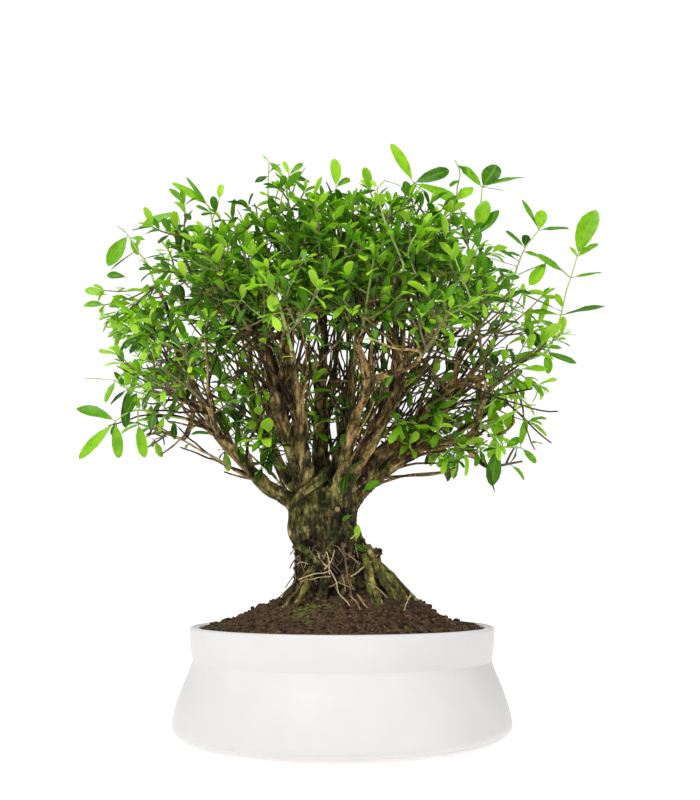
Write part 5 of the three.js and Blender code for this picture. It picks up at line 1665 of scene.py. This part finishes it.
def add_limbs():
    """The limbs, browner along their length and with patches of moss, and the brown branches on them."""
    form = Form(*BARK_MARKS)
    skin = LIMB_SKIN
    for index, ((radius, _), curve) in enumerate(zip(LIMBS, limb_curves)):
        steps = int(curve.length() / skin["step"])
        centres, shares = wandering(curve, steps, skin["wander_size"], index, skin["wander_reach"])
        radii = np.array([limb_radius(radius, t) for t in shares])
        young = np.clip(shares * 2.2 - 0.1, 0, 1)
        moss = (0.75 if index == 0 else 0.42) * (1 - shares.mean())
        add_wood_tube(form, centres, radii, skin["sides"], index, skin["knobs"], young, moss)
    skin = BRANCH_SKIN
    for index, curve in enumerate(branch_curves, FIRST_BRANCH_NOISE):
        steps = max(LEAST_BRANCH_RINGS, int(curve.length() / skin["step"]))
        centres, shares = wandering(curve, steps, skin["wander_size"], index, skin["wander_reach"])
        radii = mix(BRANCH_RADIUS * 1.25, BRANCH_END_RADIUS, shares)
        add_wood_tube(form, centres, radii, skin["sides"], index, skin["knobs"], 0.7, 0.12)
    add_piece("limbs_and_branches", form, [bark_finish], ["trunk_roots_and_limbs"])


# Strands, rootlets and straws on the trunk


def add_strands():
    """The wrapping stem and the strands of root, greener on the right flank."""
    form = Form(*BARK_MARKS)
    places = [seen(point, depth) for point, depth in zip(WRAPPING_STEM["picture"], WRAPPING_STEM["depths"])]
    line = Smooth(places).line(48)
    line = line + jitter(line, 8, 3, 0.5)
    radii = mix(WRAPPING_STEM["to"], WRAPPING_STEM["from"], (1 - np.linspace(0, 1, len(line))) ** 1.6)
    add_wood_tube(form, line, radii, 12, 71, 0.1, 0.15, 0.3)
    for index, strand in enumerate(STRANDS):
        line, radii = root_tube(strand)
        line = line + jitter(line, 9, index + 80, 1.6)
        moss = 0.8 if line[-1][0] > 0 else 0.3
        add_wood_tube(form, line, radii * STRAND_SHARE, 10, 90 + index, 0.2, 0.35, moss)
    add_piece("strands_on_the_trunk", form, [bark_finish])


def add_loose_rootlet(form, rng):
    """A thin rootlet that hangs off the trunk's front."""
    height = rng.uniform(*ROOTLET_HEIGHTS)
    angle = rng.uniform(*ROOTLET_ANGLES)
    row = trunk_at(height)
    x = row["x"] + math.cos(angle) * row["wide"] * TRUNK_SKIN
    start = Vector((x, math.sin(angle) * row["deep"] * TRUNK_SKIN, height))
    along = Vector((rng.uniform(-0.5, 0.9), rng.uniform(-0.6, 0.2), rng.uniform(-1, -0.2))).normalized()
    length = rng.uniform(*ROOTLET_LENGTHS)
    middle = start + along * length / 2 + Vector([rng.uniform(-1, 1) for _ in range(3)])
    line = Bezier(start, middle, start + along * length).line(7)
    add_tube(form, line, rng.uniform(*ROOTLET_RADII), 4, tone=rng.uniform(0, 0.75))


def add_straws():
    """Rootlets and straws on the trunk, and the pale scar of a cut branch."""
    rng = random.Random(5)
    form = Form("tone")
    for points, radius, tone in STRAWS:
        line = Smooth(points).line(18)
        line = line + jitter(line, 5, radius * 7, 0.5)
        wobble = 1 + 0.12 * np.sin(np.linspace(0, 14, len(line)) + tone * 9)
        add_tube(form, line, STRAW_SHARE * radius * wobble, 8, tone=tone)
    for _ in range(LOOSE_ROOTLETS):
        add_loose_rootlet(form, rng)
    x, y, z = SCAR["place"]
    scar = [(x, y + 1.5, z), (x, y - 0.1, z), (x, y - 0.6, z)]
    add_tube(form, np.array(scar), np.array((1.0, 1.0, 0.8)) * SCAR["size"], 16, tone=0.5)
    add_piece("rootlets_and_straws", form, [straw_finish])


# Sprays


def leaf_tone(place, rng, shift=0.0):
    """How bright and yellow a leaf is: dark deep in the crown, partly as painted shade, bright at its rim."""
    direction = Vector(place) - CROWN_CENTRE
    share = direction.length / crown_reach(direction.normalized())
    bright = BRIGHTER_BY if rng.random() < BRIGHT_LEAVES else 0
    return clamp(0.36 + (share - 0.8) * 1.1 + bright + rng.gauss(0, 0.12) + shift, 0.02, 1)


def leaf_face(place, rng):
    """Blades look up and outwards, more or less."""
    outward = (Vector(place) - CROWN_CENTRE).normalized()
    return Vector((rng.uniform(-0.5, 0.5), rng.uniform(-0.5, 0.5), 0.9)) + outward * 0.5


def leaf_share(place):
    """How many of the leaves a place keeps. The crown's middle is bare below its dense top, and its two low
    sides are open."""
    x, y, z = place
    aside = abs(x - CROWN_CENTRE.x)
    if z < LOW_LEAVES["height"] and math.hypot(x, y) > LOW_LEAVES["radius"]:
        return LOW_LEAVES["share"]
    drop = BARE_MIDDLE_DROP * clamp(-x / BARE_MIDDLE_DROP_WIDTH)
    lowest = BARE_MIDDLE["height"] + BARE_MIDDLE_RISE_TO_BACK * y - drop
    middle = clamp((BARE_MIDDLE["half_width"] - aside) / BARE_MIDDLE["side_blend"])
    share = 1 - BARE_MIDDLE["loss"] * (middle * clamp((lowest - z) / BARE_MIDDLE["blend"]))
    for side in (OPEN_SIDE, LOW_SIDE):
        reach = clamp((aside - side["from"]) / side["side_blend"])
        reach *= clamp((side["height"] - z) / side["blend"])
        share *= 1 - side["right_loss" if x > 0 else "left_loss"] * reach
    return share


def add_pair(form, at, along, turn, spread, length, rng, shift=0.0, kept=False):
    """Two opposite leaves at a node. Where few grow, each is left out by chance, unless it is kept."""
    for i in range(2):
        if rng.random() > leaf_share(at) and not kept:
            continue
        out = around(along, turn + i * math.pi + rng.uniform(-0.3, 0.3))
        angle = spread + rng.uniform(-0.25, 0.25)
        way = along * math.cos(angle) + out * math.sin(angle)
        way.z += rng.uniform(-0.28, 0.1)
        face = leaf_face(at, rng)
        size = length * rng.uniform(0.75, 1.2)
        width = rng.uniform(*LEAF_WIDTHS)
        tone = leaf_tone(at, rng, shift)
        add_leaf(form, at, way, face, size, rng, width, tone, rng.uniform(0.02, 0.22))


def side_twig(at, along, turn, rng):
    """A short twig that leaves another one at a node."""
    out = around(along, turn + rng.uniform(-0.3, 0.3))
    reach = rng.uniform(*SIDE_TWIG_LENGTHS)
    way = (along * rng.uniform(0.5, 1) + out).normalized()
    way.z += rng.uniform(-0.05, 0.25)
    return Bezier(at, at + (way + out * 0.4) * reach * 0.45, at + way * reach)


def add_leafy_twig(form, curve, radii, size, rng, first, internode=INTERNODE, depth=1):
    """A twig with opposite pairs of leaves, small side twigs at some nodes if it has any depth, and a tuft
    at its tip. Where few leaves grow, the twig is short."""
    drawn = mix(0.4, 1, leaf_share(curve.at(1)))
    length = curve.length() * drawn
    steps = max(4, int(length / 4))
    shares = np.linspace(0, 1, steps + 1)
    tone = clamp(0.35 + rng.uniform(-0.1, 0.25) + 0.2 * depth) * (0.3 + 0.7 * leaf_share(curve.at(0.6)))
    add_tube(form, curve.line(steps, 0, drawn), mix(radii[0], radii[1], shares), 5, 1, tone=tone)
    place = length * first
    turn = rng.uniform(0, math.pi)
    while place < length - internode * 0.5:
        t = place / length
        at, along = curve.at(t * drawn), curve.way(t * drawn)
        if depth > 0 and rng.random() < SIDE_TWIG_CHANCE * (0.3 + 0.7 * leaf_share(at)):
            for i in range(2):
                twig = side_twig(at, along, turn + i * math.pi, rng)
                add_leafy_twig(form, twig, (0.6, 0.4), size * 0.92, rng, 0.35, internode * 0.95, depth - 1)
        else:
            add_pair(form, at, along, turn, 0.95, size * mix(1, 0.85, t), rng)
        place += internode * rng.uniform(0.8, 1.25)
        turn += math.pi / 2 + rng.uniform(-0.2, 0.2)
    tip, along = curve.at(drawn), curve.way(drawn)
    add_pair(form, tip, along, turn, 0.75, size * 0.95, rng, shift=0.06)
    add_pair(form, tip, along, turn + math.pi / 2, 0.35, size * 0.62, rng, shift=0.16)


def nearest_on(curves, point, steps=40):
    """The point on any of some curves that is nearest to a point."""
    points = np.concatenate([curve.line(steps) for curve in curves])
    return Vector(points[np.linalg.norm(points - np.array(point), axis=1).argmin()])


def add_shoot(form, plan, rng):
    """A long shoot with its leaves where the picture shows them. Every twig starts on what carries it."""
    depth = plan.shoot["depth"]
    stem = Smooth([plan.start, *[seen(p, depth) for p in plan.shoot["stem"]]])
    curves = [stem]
    for twig in plan.shoot["twigs"]:
        points = [seen(p, depth) for p in twig]
        start = nearest_on([stem], points[0])
        if (start - points[0]).length > 8:
            start = nearest_on(carriers, points[0])
        curves.append(Smooth([start, *points] if (start - points[0]).length > 1 else [start, *points[1:]]))
    for index, curve in enumerate(curves):
        steps = max(6, int(curve.length() / 4))
        shares = np.linspace(0, 1, steps + 1)
        add_tube(form, curve.line(steps), mix(0.68 if index == 0 else 0.5, 0.36, shares), 6, 1, tone=0.85)
    for foot, tip, width, turned, tone in plan.shoot["leaves"]:
        start = nearest_on(curves, seen(foot, depth))
        way = seen(tip, depth + rng.uniform(-5, 5)) - start
        face = EDGE_ON.lerp(FULL_ON, turned) + Vector([rng.uniform(-0.15, 0.15) for _ in range(3)])
        add_leaf(form, start, way, face, way.length, rng, width, tone, rng.uniform(0, 0.08))


grown_sprays = {plan.name: grown(plan) for plan in plans}
carriers = limb_curves + branch_curves + [spray[0] for spray in grown_sprays.values()]


def add_spray(plan):
    """The leaves and twigs of a spray or a long shoot. Where leaves are few, side twigs may be left out."""
    rng = random.Random(plan.seed)
    main, sides = grown_sprays[plan.name]
    form = Form(*LEAF_MARKS)
    if plan.shoot:
        add_shoot(form, plan, rng)
    else:
        add_leafy_twig(form, main, (TWIG_RADIUS, 0.6), LEAF_LENGTH, rng, 0.12)
        for side in sides:
            if rng.random() > 0.2 + 0.8 * leaf_share(side.at(1)):
                continue
            add_leafy_twig(form, side, (0.75, 0.5), LEAF_LENGTH, rng, 0.25)
    name = plan.name.replace("leafy_spray", "leaves_of_spray").replace("long_shoot", "leaves_of_shoot")
    add_piece(name, form, [leaf_finish, stem_finish], [plan.name], sharp=55)


# Fine twigs inside the crown


def add_fine_twig(twigs, leaves, start, along, target, thick, index, rng):
    """A bent brown twig with leaves at its tip."""
    length = (target - start).length
    wander = Vector([rng.uniform(-1, 1) for _ in range(3)]) * length * 0.1
    way = Bezier(start, start + along * length * 0.4, start.lerp(target, 0.65) + wander, target)
    steps = max(7, int(length / 4.5))
    centres, shares = wandering(way, steps, TWIG_WANDER["size"], index * 0.11, TWIG_WANDER["reach"])
    relief = rng.uniform(-0.6, 0.45)
    young = rng.uniform(0.5, 1)
    radii = mix(thick, TWIG_END_RADIUS, shares ** 0.8)
    add_tube(twigs, centres, radii, 5, relief=relief, young=young, moss=0.05)
    along = Vector(centres[-1] - centres[-2]).normalized()
    turn = rng.uniform(0, math.pi)
    size = rng.uniform(*TWIG_LEAF_LENGTHS)
    add_pair(leaves, Vector(centres[-1]), along, turn, 0.8, size, rng, shift=0.05)
    add_pair(leaves, Vector(centres[-1]), along, turn + math.pi / 2, 0.4, size * 0.7, rng, shift=0.15)
    add_pair(leaves, Vector(centres[-2]), along, turn + math.pi / 2, 0.95, size, rng)


def add_tuft(leaves, start, tip, rng):
    """A short green side shoot with a few leaves in the open."""
    reach = (tip - start).length
    way = (tip - start).normalized()
    line = Bezier(start, start.lerp(tip, 0.5) - Vector((0, 0, reach * 0.12)), tip).line(5)
    add_tube(leaves, line, TUFT_STEM_RADII, 5, 1, tone=rng.uniform(0.2, 0.9))
    turn = rng.uniform(0, math.pi)
    shift = rng.choice((0.25, 0.4, 0.7))
    size = rng.uniform(*TUFT_LEAF_LENGTHS)
    add_pair(leaves, tip, way, turn, 0.8, size, rng, shift=shift, kept=True)
    add_pair(leaves, tip, way, turn + math.pi / 2, 0.45, size * 0.7, rng, shift=shift, kept=True)
    if reach > TUFT_WITH_LOWER_PAIR:
        middle = start.lerp(tip, 0.6)
        add_pair(leaves, middle, way, turn + math.pi / 2, 1, size, rng, shift=shift, kept=True)


def add_low_tuft(leaves, rng):
    """A side shoot low on a limb, at any side of it."""
    curve = rng.choice(limb_curves)
    t = rng.uniform(*LOW_TUFT_STARTS)
    start = curve.at(t)
    out = around(curve.way(t), rng.uniform(0, math.pi * 2))
    way = (curve.way(t) * rng.uniform(0.2, 1) + out).normalized()
    tip = start + way * rng.uniform(*LOW_TUFT_LENGTHS) + Vector((0, 0, rng.uniform(0, 5)))
    add_tuft(leaves, start, tip, rng)


def add_limb_twigs(twigs, leaves, rng):
    """Twigs that climb beside the limbs."""
    for index in range(LIMB_TWIGS):
        curve = rng.choice(limb_curves)
        t = rng.uniform(*LIMB_TWIG_STARTS)
        aside = Vector([rng.uniform(-1, 1) for _ in range(3)]) * LIMB_TWIG_ASIDE
        target = curve.at(min(1, t + rng.uniform(*LIMB_TWIG_SPANS))) + aside
        thick = rng.uniform(*LIMB_TWIG_RADII)
        add_fine_twig(twigs, leaves, curve.at(t), curve.way(t), target, thick, index, rng)


def best_start(target, rng):
    """The place, of some that are tried on all wood, from which a twig fans out best to a target."""
    options = []
    for _ in range(STARTS_TRIED):
        curve = rng.choice(carriers)
        t = rng.uniform(*CROWN_TWIG_STARTS)
        lean = (target - curve.at(t)).angle(target - FAN_CENTRE)
        options.append((way_cost(curve, t, target) * (1 + FAN_WEIGHT * lean), t, curve))
    return min(options, key=lambda option: option[0])[1:]


def add_crown_twigs(twigs, leaves, rng):
    """Twigs that reach the crown's leaves all round. Few go where leaves are few."""
    for index in range(CROWN_TWIGS):
        azimuth = index * GOLDEN_ANGLE + rng.uniform(-0.2, 0.2)
        lowest = mix(SIDE_ELEVATION, 0.5, abs(math.sin(azimuth)) ** 1.4)
        height = mix(math.sin(lowest), 0.99, rng.random() ** 0.85)
        level = math.sqrt(1 - height * height)
        direction = Vector((math.cos(azimuth) * level, math.sin(azimuth) * level, height))
        target = CROWN_CENTRE + direction * crown_reach(direction) * rng.uniform(*CROWN_TWIG_REACH)
        if rng.random() > 0.35 + 0.65 * leaf_share(target):
            continue
        t, curve = best_start(target, rng)
        thick = rng.uniform(*CROWN_TWIG_RADII)
        add_fine_twig(twigs, leaves, curve.at(t), curve.way(t), target, thick, index, rng)


def add_open_tufts(leaves, rng):
    """Tufts and single leaves where the picture shows them in the open."""
    bearers = limb_curves + branch_curves
    shortest, longest = OPEN_TUFT_REACH
    for left, top, right, bottom, count in OPEN_TUFTS:
        for _ in range(count):
            point = (rng.uniform(left, right), rng.uniform(top, bottom))
            tip = seen(point, rng.uniform(*OPEN_TUFT_DEPTHS))
            start = nearest_on(bearers, tip)
            if shortest < (tip - start).length < longest:
                add_tuft(leaves, start, tip, rng)
    for foot, tip, depth, tone in SINGLE_LEAVES:
        start = seen(foot, depth)
        way = seen(tip, depth) - start
        add_leaf(leaves, start, way, FULL_ON, way.length, rng, SINGLE_LEAF_WIDTH, tone)


def add_fine_twigs():
    rng = random.Random(77)
    twigs = Form(*BARK_MARKS)
    inner_leaves = Form(*LEAF_MARKS)
    open_leaves = Form(*LEAF_MARKS)
    add_limb_twigs(twigs, inner_leaves, rng)
    add_crown_twigs(twigs, inner_leaves, rng)
    for _ in range(LOW_TUFTS):
        add_low_tuft(open_leaves, rng)
    add_open_tufts(open_leaves, rng)
    add_piece("fine_twigs", twigs, [bark_finish])
    add_piece("leaves_in_the_open", open_leaves, [leaf_finish, stem_finish], sharp=55)
    add_piece("inner_leaves", inner_leaves, [leaf_finish, stem_finish], sharp=55)


add_camera()
add_stage()
add_pot()
dress_drain_mesh()
add_soil()
add_crumbs()
add_trunk()
add_limbs()
add_strands()
add_straws()
for plan in plans:
    add_spray(plan)
add_fine_twigs()
